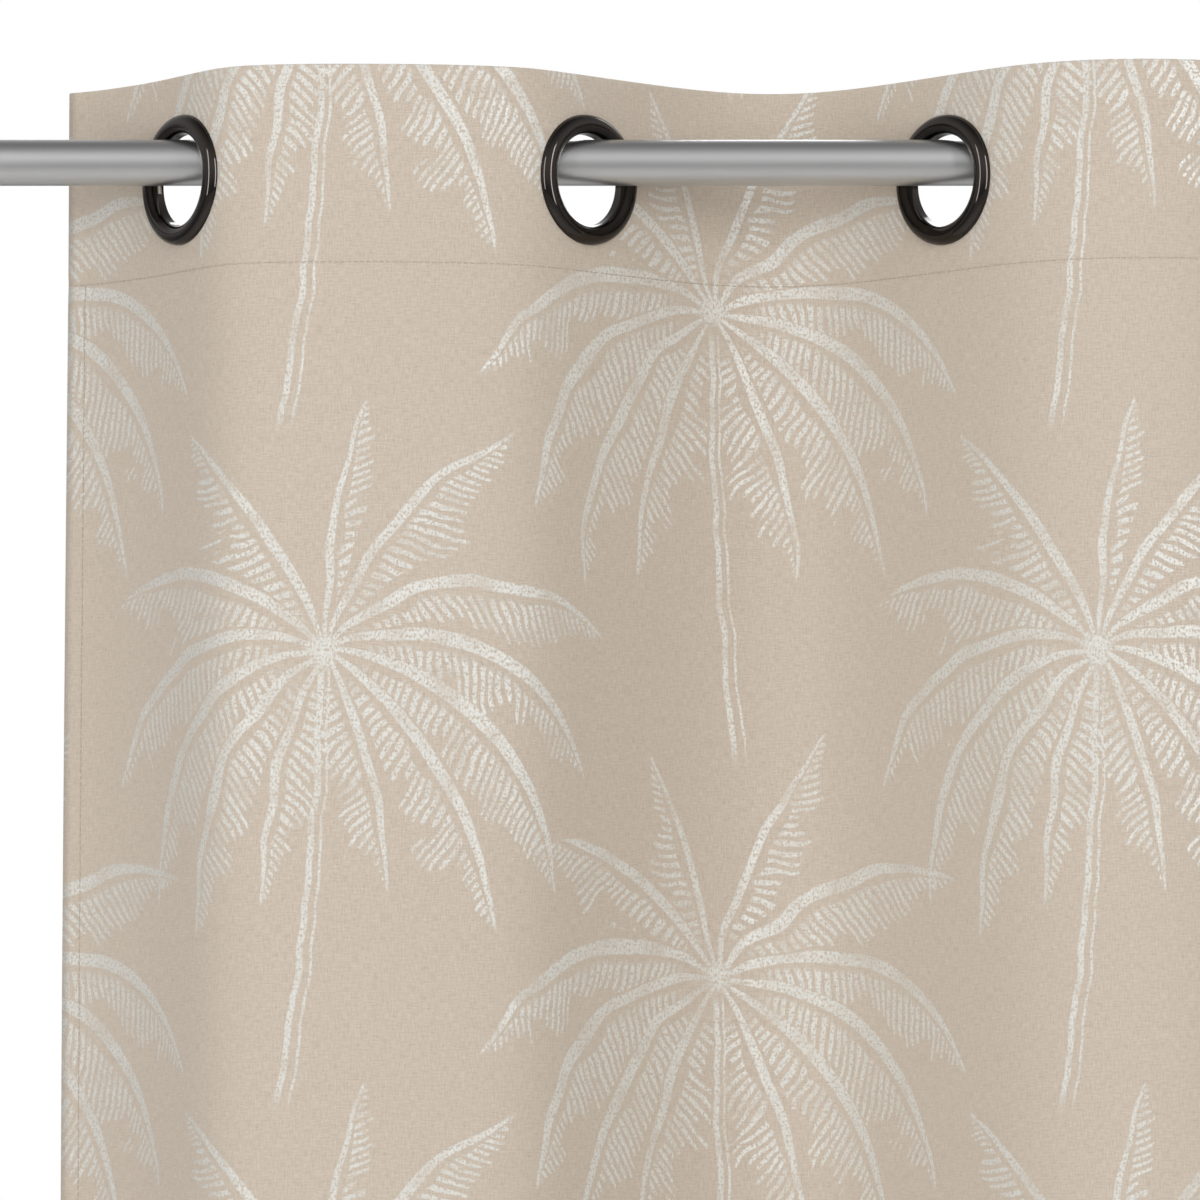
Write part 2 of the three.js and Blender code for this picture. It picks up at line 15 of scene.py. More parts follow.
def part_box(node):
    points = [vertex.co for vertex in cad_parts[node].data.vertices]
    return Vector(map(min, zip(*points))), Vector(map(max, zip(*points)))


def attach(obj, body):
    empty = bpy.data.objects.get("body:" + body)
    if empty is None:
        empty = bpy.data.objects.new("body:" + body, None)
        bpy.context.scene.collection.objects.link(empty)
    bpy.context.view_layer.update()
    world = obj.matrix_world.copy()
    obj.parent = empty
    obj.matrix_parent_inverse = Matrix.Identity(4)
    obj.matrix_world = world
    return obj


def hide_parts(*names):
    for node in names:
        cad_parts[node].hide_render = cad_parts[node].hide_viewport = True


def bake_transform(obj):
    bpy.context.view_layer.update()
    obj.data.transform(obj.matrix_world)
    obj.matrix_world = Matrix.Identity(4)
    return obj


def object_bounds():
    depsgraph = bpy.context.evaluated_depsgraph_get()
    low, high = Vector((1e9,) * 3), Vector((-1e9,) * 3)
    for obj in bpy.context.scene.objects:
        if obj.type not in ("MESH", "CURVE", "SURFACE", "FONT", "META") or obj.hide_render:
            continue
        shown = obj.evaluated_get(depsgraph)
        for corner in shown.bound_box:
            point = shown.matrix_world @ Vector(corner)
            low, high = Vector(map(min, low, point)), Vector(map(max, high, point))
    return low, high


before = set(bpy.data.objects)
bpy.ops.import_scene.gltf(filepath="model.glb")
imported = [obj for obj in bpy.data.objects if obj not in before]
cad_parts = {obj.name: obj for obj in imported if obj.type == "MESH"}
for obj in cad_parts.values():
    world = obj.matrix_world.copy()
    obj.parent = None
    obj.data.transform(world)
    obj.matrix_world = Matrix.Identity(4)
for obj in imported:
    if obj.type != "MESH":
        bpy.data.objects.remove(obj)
cad_low, cad_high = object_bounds()

MM = 0.001

# ---------------------------------------------------------------- sizes of this curtain

EYELETS = 8
FOLDS = EYELETS - 1
HEADING = 85 * MM  # turned-over head of the curtain, down to its seam
SEAM_WIDTH = 3 * MM  # the dent that the heading seam pulls into the cloth
HEADING_BELOW = 4 * MM  # of turned-over cloth below the seam
EYELET_BELOW_TOP = 45 * MM
RING_RADII = (27 * MM, 24 * MM, 21.7 * MM)  # of the cloth round an eyelet, in to its hole
CLOTH = 0.55 * MM  # thickness of the woven cloth
FRONT_LAYER = 0.65 * MM  # middle of the front layer, from the middle of the eyelets' grip
BACK_LAYER = -0.7 * MM  # middle of the turned-over layer
TAPE_LAYER = -0.02 * MM  # middle of the stiffener between them
TAPE = 0.5 * MM
SIDE_HEM = 9 * MM
BOTTOM_HEM = 80 * MM
HEM_LIFT = 0.75 * MM  # from the cloth's middle to the middle of a hem behind it
STITCH_PITCH = 2.8 * MM
STITCH_LENGTH = 2.0 * MM
STITCH_RADIUS = 0.28 * MM
CELL = 4  # columns or rows of cloth across an eyelet hole's patch
PATCH = 33.3 * MM  # from an eyelet's middle to its patch's edge
LOWER_ROW = 17 * MM  # height of a row of cloth below the heading
SIM_FRAMES = 22

# ---------------------------------------------------------------- small tools


def deselect():
    bpy.ops.object.select_all(action="DESELECT")


def activate(obj):
    deselect()
    obj.select_set(True)
    bpy.context.view_layer.objects.active = obj
    return obj


def edit(obj):
    """Opens an object for editing, with all of it selected."""
    activate(obj)
    bpy.ops.object.mode_set(mode="EDIT")
    bpy.ops.mesh.select_all(action="SELECT")
    return bmesh.from_edit_mesh(obj.data)


def leave():
    bpy.ops.object.mode_set(mode="OBJECT")


def apply_modifier(obj, kind, **settings):
    modifier = obj.modifiers.new(kind.title(), kind)
    for name, value in settings.items():
        setattr(modifier, name, value)
    activate(obj)
    bpy.ops.object.modifier_apply(modifier=modifier.name)


def smooth(obj, angle=40):
    activate(obj)
    bpy.ops.object.shade_smooth_by_angle(angle=math.radians(angle))


def rename(name):
    obj = bpy.context.object
    obj.name = name
    obj.data.name = name
    return obj


def link(name, data):
    """A new object in the scene for a mesh, a light or a camera."""
    obj = bpy.data.objects.new(name, data)
    bpy.context.collection.objects.link(obj)
    return obj


def mesh_object(name, work):
    """A new object from a bmesh, which it uses up."""
    mesh = bpy.data.meshes.new(name)
    work.to_mesh(mesh)
    work.free()
    return link(name, mesh)


def duplicate(obj, name):
    twin = link(name, obj.data.copy())
    twin.data.name = name
    return twin


def settle(obj):
    """Puts the object's place into its mesh."""
    activate(obj)
    bpy.ops.object.transform_apply(location=True, rotation=True, scale=True)
    return obj


def node_points(node):
    """The vertices of a CAD node, in the frame."""
    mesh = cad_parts[node].data
    points = np.empty(len(mesh.vertices) * 3)
    mesh.vertices.foreach_get("co", points)
    return points.reshape(-1, 3)


def running_length(points):
    """The length of a line of points up to each of them."""
    steps = [0.0]
    for before, after in zip(points, points[1:]):
        steps.append(steps[-1] + (after - before).length)
    return steps


def centre(node):
    low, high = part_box(node)
    return (Vector(low) + Vector(high)) / 2


# ---------------------------------------------------------------- where eyelets and cloth lie

rod_centre = centre("rod_tube")
rod_low, rod_high = (Vector(corner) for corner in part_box("rod_tube"))
ROD_RADIUS = (rod_high.z - rod_low.z) / 2
cloth_low, cloth_high = (Vector(corner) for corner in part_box("cloth_fold_1"))
CURTAIN_TOP = cloth_high.z
CURTAIN_HEIGHT = cloth_high.z - cloth_low.z


def eyelet_place(number):
    """Centre of an eyelet's grip and the way it faces, from the symmetry of its front ring."""
    points = node_points(f"eyelet_front_{number}")
    middle = points.mean(axis=0)
    facing = np.linalg.svd(points - middle, full_matrices=False)[2][2]
    facing *= -np.sign(facing[1])
    reach = (rod_centre.y - middle[1]) / facing[1]
    spot = middle + reach * facing
    return Vector((spot[0], spot[1], CURTAIN_TOP - EYELET_BELOW_TOP)), Vector(facing)


eyelets = [eyelet_place(number) for number in range(1, EYELETS + 1)]


def strip_outline(fold):
    """The closed outline of a cloth node's foot, as an ordered list of (x, y)."""
    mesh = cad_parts[f"cloth_fold_{fold}"].data
    work = bmesh.new()
    work.from_mesh(mesh)
    bmesh.ops.remove_doubles(work, verts=work.verts, dist=1e-6)
    foot = min(v.co.z for v in work.verts)
    level = {v for v in work.verts if v.co.z < foot + 1e-5}
    rim = {}
    for edge in work.edges:
        flat = sum(all(v in level for v in face.verts) for face in edge.link_faces)
        if all(v in level for v in edge.verts) and flat == 1:
            for here, there in (edge.verts, reversed(edge.verts)):
                rim.setdefault(here, []).append(there)
    start = min(rim, key=lambda v: v.co.x)
    loop, last = [start], None
    while True:
        following = [v for v in rim[loop[-1]] if v is not last]
        last = loop[-1]
        if following[0] is start or (len(loop) > 2 and start in following):
            break
        loop.append(following[0])
    outline = [Vector(v.co.xy) for v in loop]
    work.free()
    return outline


def strip_middle(fold):
    """The middle line of a cloth node from left to right, found from its two long sides."""
    outline = strip_outline(fold)
    ends = [(outline[i] - outline[i - 1]).length for i in range(len(outline))]
    # the two short ends are the smallest steps of the outline
    first, second = sorted(sorted(range(len(ends)), key=lambda i: ends[i])[:2])
    one = [outline[i % len(outline)] for i in range(first, second)]
    other = [outline[i % len(outline)] for i in range(second, first + len(outline))]
    other.reverse()
    line = [(left + right) / 2 for left, right in zip(one, other)]
    return line if line[0].x < line[-1].x else line[::-1]


class Path:
    """The curtain's path along the rod, seen from above, by distance along the cloth."""

    def __init__(self):
        points = []
        for fold in range(1, FOLDS + 1):
            points += strip_middle(fold)
        steps = running_length(points)
        self.distance = np.array(steps)
        self.xy = np.array([tuple(p) for p in points])
        self.length = steps[-1]
        self.slopes = np.gradient(self.xy, self.distance, axis=0)

    def at(self, distance):
        """Point and unit direction at a distance along the cloth, by a cubic through its points."""
        s = min(max(distance, 0.0), self.length)
        i = min(int(np.searchsorted(self.distance, s, side="right")) - 1, len(self.xy) - 2)
        span = self.distance[i + 1] - self.distance[i]
        t = (s - self.distance[i]) / span
        p, q = self.xy[i], self.xy[i + 1]
        m, n = self.slopes[i] * span, self.slopes[i + 1] * span
        point = (
            (2 * t**3 - 3 * t**2 + 1) * p
            + (t**3 - 2 * t**2 + t) * m
            + (3 * t**2 - 2 * t**3) * q
            + (t**3 - t**2) * n
        )
        way = (6 * t**2 - 6 * t) * (p - q) + (3 * t**2 - 4 * t + 1) * m + (3 * t**2 - 2 * t) * n
        return Vector(point), Vector(way).normalized()

    def find(self, x):
        """The distance along the cloth at which it crosses an x."""
        return float(np.interp(x, self.xy[:, 0], self.distance))


path = Path()
eyelet_at = [path.find(spot.x) for spot, _ in eyelets]

# ---------------------------------------------------------------- the cloth, cut flat


def flat_columns():
    """Distances along the cloth of its columns, with an eyelet hole's patch over four cells."""
    columns = [0.0, SIDE_HEM, 2 * SIDE_HEM]
    for number, middle in enumerate(eyelet_at):
        columns += [middle + PATCH * k / 2 for k in range(-2, 3)]
        if number < EYELETS - 1:
            start, stop = middle + PATCH, eyelet_at[number + 1] - PATCH
            columns += list(np.linspace(start, stop, 10)[1:-1])
    return columns + [path.length - 2 * SIDE_HEM, path.length - SIDE_HEM, path.length]


def head_rows():
    """Depths below the top edge of the rows down to the heading seam."""
    rows = [0.0] + [EYELET_BELOW_TOP + PATCH * k / 2 for k in range(-2, 3)]
    return rows + [HEADING - SEAM_WIDTH, HEADING, HEADING + SEAM_WIDTH]


def front_rows():
    """Depths below the top edge of all rows of the front layer."""
    hem = CURTAIN_HEIGHT - BOTTOM_HEM
    start = head_rows()[-1]
    count = round((hem - start) / LOWER_ROW)
    rows = head_rows() + list(np.linspace(start, hem, count + 1)[1:])
    return rows + list(np.linspace(hem, CURTAIN_HEIGHT, 6)[1:])


COLUMNS = flat_columns()
FRONT_ROWS = front_rows()
SEAM_DENT = 0.45 * MM
SWAY_GROWS = 0.5  # metres below the heading over which the sway comes in
SWAY_ALONG = 14 * MM
SWAY_OUT = 16 * MM


def place_on_path(along, depth, layer):
    """A point of a layer of the heading, at a distance along the cloth and a depth down it."""
    point, way = path.at(along)
    x = point.x + way.y * (layer - FRONT_LAYER)
    y = point.y - way.x * (layer - FRONT_LAYER)
    return Vector((x, y, CURTAIN_TOP - depth))


def sway(along, depth):
    """How the hanging cloth strays from straight folds, the more the lower it is."""
    fall = max(depth - HEADING, 0.0)
    grow = 1 - math.exp(-fall / SWAY_GROWS)
    seed = Vector((along * 2.2, depth * 0.55, 3.7))
    wander = noise.noise(seed)
    lean = noise.noise(seed + Vector((11.0, 0.0, 0.0)))
    return grow * SWAY_ALONG * lean, grow * SWAY_OUT * wander


def hang_front(along, depth):
    """A point of the front layer before it is draped."""
    spot = place_on_path(along, depth, FRONT_LAYER)
    sideways, outwards = sway(along, depth)
    if abs(depth - HEADING) < SEAM_DENT:
        _, way = path.at(along)
        spot.x -= way.y * SEAM_DENT
        spot.y += way.x * SEAM_DENT
    return Vector((spot.x + sideways, spot.y + outwards, spot.z))


class Cloth:
    """A mesh of cloth that keeps the flat cloth's measure as its UV map."""

    def __init__(self):
        self.work = bmesh.new()
        self.uv = self.work.loops.layers.uv.new("cloth")
        self.flat = {}

    def vertex(self, place, along, depth):
        made = self.work.verts.new(place)
        self.flat[made] = (along, depth)
        return made

    def face(self, corners):
        made = self.work.faces.new(corners)
        made.smooth = True
        for loop in made.loops:
            loop[self.uv].uv = self.flat[loop.vert]


def nearest(values, wanted):
    """The number of the value nearest to the wanted one."""
    return min(range(len(values)), key=lambda i: abs(values[i] - wanted))


def holed_layer(cloth, rows, place, sign=1):
    """Rows of cloth across all columns, with a round hole in a patch of cells at each eyelet.

    A layer turned over has sign -1: it faces the wall, and its flat depths are negative.
    """
    half = CELL // 2
    row = nearest(rows, EYELET_BELOW_TOP)
    centres = [nearest(COLUMNS, middle) for middle in eyelet_at]
    grid = {}

    def vertex(along, depth):
        return cloth.vertex(place(along, depth), along, sign * depth)

    def in_patch(i, j, before):
        return row - before <= j < row + half and any(c - before <= i < c + half for c in centres)

    for i, along in enumerate(COLUMNS):
        for j, depth in enumerate(rows):
            if not in_patch(i, j, half - 1):
                grid[i, j] = vertex(along, depth)
    for i in range(len(COLUMNS) - 1):
        for j in range(len(rows) - 1):
            if not in_patch(i, j, half):
                corners = grid[i, j], grid[i, j + 1], grid[i + 1, j + 1], grid[i + 1, j]
                cloth.face(corners[::sign])
    for middle, c in zip(eyelet_at, centres):
        # from the patch's square edge in to the round hole
        square = [(c - half, row - half + k) for k in range(CELL)]
        square += [(c - half + k, row + half) for k in range(CELL)]
        square += [(c + half, row + half - k) for k in range(CELL)]
        square += [(c + half - k, row - half) for k in range(CELL)]
        outer = [grid[spot] for spot in square]
        for radius in RING_RADII:
            inner = []
            for i, j in square:
                sideways, down = COLUMNS[i] - middle, rows[j] - EYELET_BELOW_TOP
                reach = math.hypot(sideways, down)
                along = middle + radius * sideways / reach
                inner.append(vertex(along, EYELET_BELOW_TOP + radius * down / reach))
            for k in range(len(square)):
                n = (k + 1) % len(square)
                cloth.face((outer[k], outer[n], inner[n], inner[k])[::sign])
            outer = inner
    return grid


def cloth_sheet():
    """The whole panel: the front layer, the roll over the top edge and the turned-over layer."""
    cloth = Cloth()
    front = holed_layer(cloth, FRONT_ROWS, hang_front)
    back_rows = head_rows()[:-1] + [HEADING + HEADING_BELOW]
    in_back = lambda along, depth: place_on_path(along, depth, BACK_LAYER)
    back = holed_layer(cloth, back_rows, in_back, -1)
    columns = range(len(COLUMNS))
    chain = [[front[i, 0] for i in columns]]
    radius = (FRONT_LAYER - BACK_LAYER) / 2
    for turn in map(math.radians, (40, 90, 140)):
        layer = BACK_LAYER + radius + radius * math.cos(turn)
        row = []
        for along in COLUMNS:
            spot = place_on_path(along, -radius * math.sin(turn), layer)
            row.append(cloth.vertex(spot, along, -turn * radius / 2))
        chain.append(row)
    chain.append([back[i, 0] for i in columns])
    for above, below in zip(chain[1:], chain):
        for i in columns[:-1]:
            cloth.face((above[i], below[i], below[i + 1], above[i + 1]))
    return mesh_object("curtain", cloth.work)


WEAVE = {
    "quality": 7, "mass": 0.35, "vertex_group_mass": "held", "pin_stiffness": 2,
    "tension_stiffness": 40, "compression_stiffness": 40, "shear_stiffness": 12,
    "bending_stiffness": 3, "tension_damping": 15, "compression_damping": 15,
    "shear_damping": 15, "bending_damping": 2, "air_damping": 4,
}


def drape(obj):
    """Hangs the cloth below its stiff heading by simulation and keeps the result."""
    held = obj.vertex_groups.new(name="held")
    limp = HEADING + 2 * SEAM_WIDTH
    fading = 6 * LOWER_ROW
    for vertex in obj.data.vertices:
        below = CURTAIN_TOP - vertex.co.z - limp
        if below < 0:
            held.add([vertex.index], 1.0, "REPLACE")
        elif below < fading:
            held.add([vertex.index], (1 - below / fading) ** 2 * 0.5, "REPLACE")
    modifier = obj.modifiers.new("Drape", "CLOTH")
    for name, value in WEAVE.items():
        setattr(modifier.settings, name, value)
    modifier.collision_settings.use_collision = False
    modifier.collision_settings.use_self_collision = False
    scene = bpy.context.scene
    scene.frame_start, scene.frame_end = 1, SIM_FRAMES
    modifier.point_cache.frame_start, modifier.point_cache.frame_end = 1, SIM_FRAMES
    for step in range(1, SIM_FRAMES + 1):
        scene.frame_set(step)
    activate(obj)
    bpy.ops.object.modifier_apply(modifier="Drape")
    scene.frame_set(1)
    obj.vertex_groups.clear()


def cut_fold(whole, name, fold):
    """A copy of the part of a cloth mesh in one fold, closed where it is cut."""
    piece = duplicate(whole, name)
    for inner, number, first_or_last in ((True, fold - 1, fold == 1), (False, fold, fold == FOLDS)):
        if not first_or_last:
            edit(piece)
            bpy.ops.mesh.bisect(
                plane_co=(eyelets[number][0].x, 0, 0),
                plane_no=(1, 0, 0),
                use_fill=True,
                clear_inner=inner,
                clear_outer=not inner,
                threshold=1e-6,
            )
            leave()
    return piece


def gather(piece, fold):
    """Puts the place of a piece of one fold into its mesh; the fold's two eyelets are looked up but
    not used.
    """
    start, end = eyelets[fold - 1][0], eyelets[fold][0]
    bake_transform(piece)
    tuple(start)
    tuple(end)


def sew(piece, fold):
    """Puts the place of a piece of one fold into its mesh, by gather."""
    gather(piece, fold)


# ---------------------------------------------------------------- shader tools


def reckon(operation, swap=False):
    """An operator that adds a maths node to the tree."""

    def operator(self, *other):
        values = (self, *other)
        return self.tree.math(operation, *(values[::-1] if swap else values))

    return operator


class Value:
    """A shader socket that can be reckoned with like a number. `|` is the greater of two."""

    def __init__(self, tree, socket):
        self.tree = tree
        self.socket = socket

    __add__ = reckon("ADD")
    __sub__ = reckon("SUBTRACT")
    __rsub__ = reckon("SUBTRACT", swap=True)
    __mul__ = reckon("MULTIPLY")
    __truediv__ = reckon("DIVIDE")
    __rtruediv__ = reckon("DIVIDE", swap=True)
    __or__ = reckon("MAXIMUM")
    __abs__ = reckon("ABSOLUTE")


class Tree:
    """Short calls for building a node tree."""

    def __init__(self, tree):
        self.tree = tree

    def fill(self, node, inputs):
        """Links or sets inputs of a node, by name or number."""
        for name, value in inputs.items():
            if isinstance(value, Value):
                self.tree.links.new(value.socket, node.inputs[name])
            else:
                node.inputs[name].default_value = value

    def node(self, kind, inputs=None, **settings):
        made = self.tree.nodes.new(kind)
        for name, value in settings.items():
            setattr(made, name, value)
        self.fill(made, inputs or {})
        return made

    def out(self, node, name=0):
        return Value(self, node.outputs[name])

    def outs(self, node):
        return {socket.name: Value(self, socket) for socket in node.outputs}

    def math(self, operation, *values, clamp=False):
        inputs = dict(enumerate(values))
        return self.out(self.node("ShaderNodeMath", inputs, operation=operation, use_clamp=clamp))

    def line(self, value, low, high, to_low=0.0, to_high=1.0, kind="LINEAR"):
        """Maps low..high to to_low..to_high in a straight line, clamped."""
        inputs = dict(enumerate((value, low, high, to_low, to_high)))
        return self.out(self.node("ShaderNodeMapRange", inputs, interpolation_type=kind))

    def ramp(self, *numbers):
        """As line, with soft ends."""
        return self.line(*numbers, kind="SMOOTHSTEP")

    def noise(self, vector, scale, detail=2.0, roughness=0.5):
        inputs = {"Scale": scale, "Detail": detail, "Roughness": roughness, "Vector": vector}
        return self.out(self.node("ShaderNodeTexNoise", inputs))

    def mix(self, share, one, other):
        """Mixes two colours."""
        inputs = {0: share, 6: one, 7: other}
        return self.out(self.node("ShaderNodeMix", inputs, data_type="RGBA"), 2)

    def split(self, vector):
        return list(self.outs(self.node("ShaderNodeSeparateXYZ", {0: vector})).values())

    def join(self, x, y, z=0.0):
        return self.out(self.node("ShaderNodeCombineXYZ", {0: x, 1: y, 2: z}))

    def stretch(self, vector, scale):
        return self.out(
            self.node("ShaderNodeVectorMath", {0: vector, 1: scale}, operation="MULTIPLY")
        )

    def where(self, kind="Object"):
        return self.out(self.node("ShaderNodeTexCoord"), kind)

    def place(self, group, inputs):
        return self.outs(self.node("ShaderNodeGroup", inputs, node_tree=group))

    def bump(self, height, distance, strength):
        inputs = {"Strength": strength, "Distance": distance, "Height": height}
        return self.out(self.node("ShaderNodeBump", inputs))


def node_group(name, inputs, outputs):
    """A shader group. An input of None is a vector, the others are numbers with a start value."""
    group = bpy.data.node_groups.new(name, "ShaderNodeTree")
    for title, value in inputs.items():
        kind = "NodeSocketVector" if value is None else "NodeSocketFloat"
        socket = group.interface.new_socket(title, in_out="INPUT", socket_type=kind)
        if value is not None:
            socket.default_value = value
    for title in outputs:
        group.interface.new_socket(title, in_out="OUTPUT", socket_type="NodeSocketFloat")
    tree = Tree(group)
    return group, tree, tree.outs(tree.node("NodeGroupInput"))


def new_material(name):
    material = bpy.data.materials.new(name)
    material.use_nodes = True
    material.node_tree.nodes.clear()
    tree = Tree(material.node_tree)
    shader = tree.node("ShaderNodeBsdfPrincipled")
    tree.node("ShaderNodeOutputMaterial", {0: tree.out(shader)})
    return material, tree, shader


# ---------------------------------------------------------------- shader groups


def woven_group():
    """Plain weave of slubbed yarn: height, tone of the yarns and a finer fleck."""
    inputs = {"Cloth": None, "Yarn": 0.0006}
    group, tree, entry = node_group("woven yarn", inputs, ("Height", "Tone", "Fleck"))
    cloth = entry["Cloth"]
    x, y, _ = tree.split(cloth)
    turns = math.pi / entry["Yarn"]
    warp = abs(tree.math("SINE", x * turns))
    weft = abs(tree.math("SINE", y * turns))
    slub_down = tree.noise(tree.stretch(cloth, (1500, 240, 1)), 1.0, 2.0, 0.6)
    slub_across = tree.noise(tree.stretch(cloth, (240, 1500, 1)), 1.0, 2.0, 0.6)
    tree.node("NodeGroupOutput", {
        "Height": warp * slub_down | weft * slub_across,
        "Tone": slub_down * 0.5 + slub_across * 0.5,
        "Fleck": tree.noise(tree.stretch(cloth, (900, 700, 1)), 1.0, 1.0),
    })
    return group


LEAFLET_PITCH = 0.0042  # along a frond, in metres


def frond_group():
    """One arching frond from the origin: a chalky spine, with loose leaflets under its curve."""
    inputs = {
        "Place": None, "Tuft": 0.5, "Angle": 0.0, "Side": 1.0,
        "Bend": 0.1, "Length": 0.12, "Leaf": 0.03,
    }
    group, tree, entry = node_group("palm frond", inputs, ["Mask"])
    place, tuft, angle, side, bend, length, leaf = (entry[name] for name in inputs)
    inputs = {"Vector": place, "Angle": angle * -1.0}
    turned = tree.node("ShaderNodeVectorRotate", inputs, rotation_type="Z_AXIS")
    out, across, _ = tree.split(tree.out(turned))
    # the frond lies on a circle: its length is measured round it, and its depth inside it
    inward = bend - across * side
    under = bend - tree.math("SQRT", out * out + inward * inward)
    along = bend * tree.math("ARCTAN2", out, inward)
    share = along / length
    swell = tree.math("SINE", tree.math("POWER", share, 0.8) * math.pi)
    broad = swell * leaf
    half_width = broad * 0.072 + 0.0005
    window = tree.ramp(share, 0.0, 0.04) * tree.ramp(share, 1.0, 0.97)
    spine = tree.ramp(half_width - abs(under), -0.0004, 0.0004) * window
    slant = under * tree.line(share, 0.05, 0.9, -0.15, 1.0)
    phase = (along - slant + tuft * 0.006) / LEAFLET_PITCH
    stroke = abs(tree.math("FRACT", phase) - 0.5)
    inputs = {"Vector": tree.join(tree.math("FLOOR", phase), angle)}
    dice = tree.node("ShaderNodeTexWhiteNoise", inputs, noise_dimensions="2D")
    drop = broad * tree.line(tuft, 0.36, 0.62, 0.35, 1.4)
    drop = drop * tree.line(tree.out(dice, "Value"), 0, 1, 0.65, 1.1)
    gap = half_width + swell * tree.line(tuft, 0.35, 0.6, 0.0045, 0.001)
    reach = (under - gap) / drop
    thin = tree.line(reach, 0.0, 1.0, 0.32, 0.16)
    drawn = tree.ramp(thin - stroke, -0.08, 0.08)
    inside = tree.ramp(reach, 0.0, 0.1) * tree.ramp(reach, 1.0, 0.85)
    ends = tree.ramp(share, 0.08, 0.2) * tree.ramp(share, 0.99, 0.94)
    tree.node("NodeGroupOutput", {"Mask": spine | drawn * inside * ends})
    return group


def trunk_group():
    """A palm's trunk hanging from the origin: one thick chalky line and one thin."""
    inputs = {"Place": None, "Length": 0.2, "Lean": 0.5, "Seed": 0.0}
    group, tree, entry = node_group("palm trunk", inputs, ["Mask"])
    x, y, _ = tree.split(entry["Place"])
    share = y * -1.0 / entry["Length"]
    shaky = tree.noise(tree.join(0.0, y, entry["Seed"]), 45.0, 1.0)
    middle = x + (shaky - 0.5) * 0.005 - share * share * 0.02 * entry["Lean"]
    wide = tree.line(share, 0.0, 1.0, 0.0016, 0.0028)
    thick = tree.ramp(abs(middle + wide), 0.0018, 0.0010)
    thin = tree.ramp(abs(middle - wide), 0.0009, 0.0003)
    window = tree.ramp(share, 0.03, 0.06) * tree.ramp(share, 1.0, 0.93)
    tree.node("NodeGroupOutput", {"Mask": (thick | thin) * window})
    return group


def metal_wear_group():
    """Fine brushing along X with faint blotches: a roughness share and a height."""
    inputs = {"Place": None, "Fineness": 1.0}
    group, tree, entry = node_group("brushed metal", inputs, ("Rough", "Height"))
    inputs = {0: entry["Place"], "Scale": entry["Fineness"]}
    scaled = tree.node("ShaderNodeVectorMath", inputs, operation="SCALE")
    lines = tree.noise(tree.stretch(tree.out(scaled), (14, 2600, 2600)), 1.0, 3.0, 0.6)
    blotch = tree.noise(entry["Place"], 22.0)
    tree.node("NodeGroupOutput", {"Rough": lines * 0.6 + blotch * 0.4, "Height": lines})
    return group


WOVEN = woven_group()
FROND = frond_group()
TRUNK = trunk_group()
BRUSHED = metal_wear_group()

# ---------------------------------------------------------------- materials

PALM_WIDE = 0.400  # the pattern's repeat across the cloth
PALM_HIGH = 0.290  # and down it
# fronds: way out in degrees, radius of the curl, length and length of the leaflets in
# millimetres. Those to the right of the hub curl one way and those to its left the other.
FULL_RIGHT = (
    (-62, 235, 109, 21), (-34, 168, 146, 29), (-6, 116, 160, 35), (21, 94, 150, 36),
    (45, 99, 144, 30), (70, 168, 128, 25), (90, 336, 109, 17),
)
FULL_LEFT = (
    (109, 190, 121, 25), (133, 108, 144, 32), (158, 90, 150, 34),
    (187, 105, 157, 35), (215, 146, 144, 29), (242, 235, 114, 21),
)
OPEN_RIGHT = (
    (-56, 224, 125, 23), (-27, 157, 150, 32), (2, 108, 157, 35),
    (29, 94, 155, 35), (54, 112, 144, 29), (79, 224, 121, 21),
)
OPEN_LEFT = (
    (100, 269, 105, 17), (123, 134, 139, 29), (148, 94, 153, 34),
    (174, 94, 157, 36), (204, 130, 153, 32), (232, 202, 130, 25),
)
# hub across and down the cloth, its fronds, lean of the trunk, seed
PALMS = (
    (0.155, 0.250, FULL_RIGHT, FULL_LEFT, -0.9, 3.1),
    (0.352, 0.098, OPEN_RIGHT, OPEN_LEFT, 0.6, 8.7),
)
# millimetres of a frond's length, leaflets and bend that stand for 1 in the chooser's colours
LENGTH_SCALE, LEAF_SCALE, BEND_SCALE = 224, 100, 560
FIELD_EDGE = 6  # degrees from a frond's way out to where its field meets its neighbour's
FIELD_END = 30  # degrees from the last frond's way out to the end of its field


def frond_chooser(tree, share, fronds, side):
    """Steps a ramp from frond to frond round the hub: angle, length, leaflets and bend."""
    ramp = tree.node("ShaderNodeValToRGB", {0: share})
    ramp.color_ramp.interpolation = "CONSTANT"
    blank = (0.0, 0.0, 0.0, 0.2)
    stops = []
    for i, (angle, bend, length, leaf) in enumerate(fronds):
        colour = (
            (angle + 90) / 360, length / LENGTH_SCALE, leaf / LEAF_SCALE, bend / BEND_SCALE
        )
        if side < 0:  # a frond's field runs from just over its neighbour to just over itself
            start = fronds[i - 1][0] + FIELD_EDGE if i else angle - FIELD_END
        else:
            start = angle - FIELD_EDGE
        stops.append(((start + 90) / 360, colour))
    end = fronds[-1][0] + (FIELD_EDGE if side < 0 else FIELD_END)
    elements = ramp.color_ramp.elements
    elements[0].position, elements[0].color = 0.0, blank
    elements[1].position, elements[1].color = (end + 90) / 360, blank
    for position, colour in stops:
        elements.new(position).color = colour
    angle, length, leaf = tree.split(tree.out(ramp))
    return {
        "Angle": (angle - 0.25) * math.tau,
        "Length": length * (LENGTH_SCALE / 1000),
        "Leaf": leaf * (LEAF_SCALE / 1000),
        "Bend": tree.out(ramp, "Alpha") * (BEND_SCALE / 1000),
    }


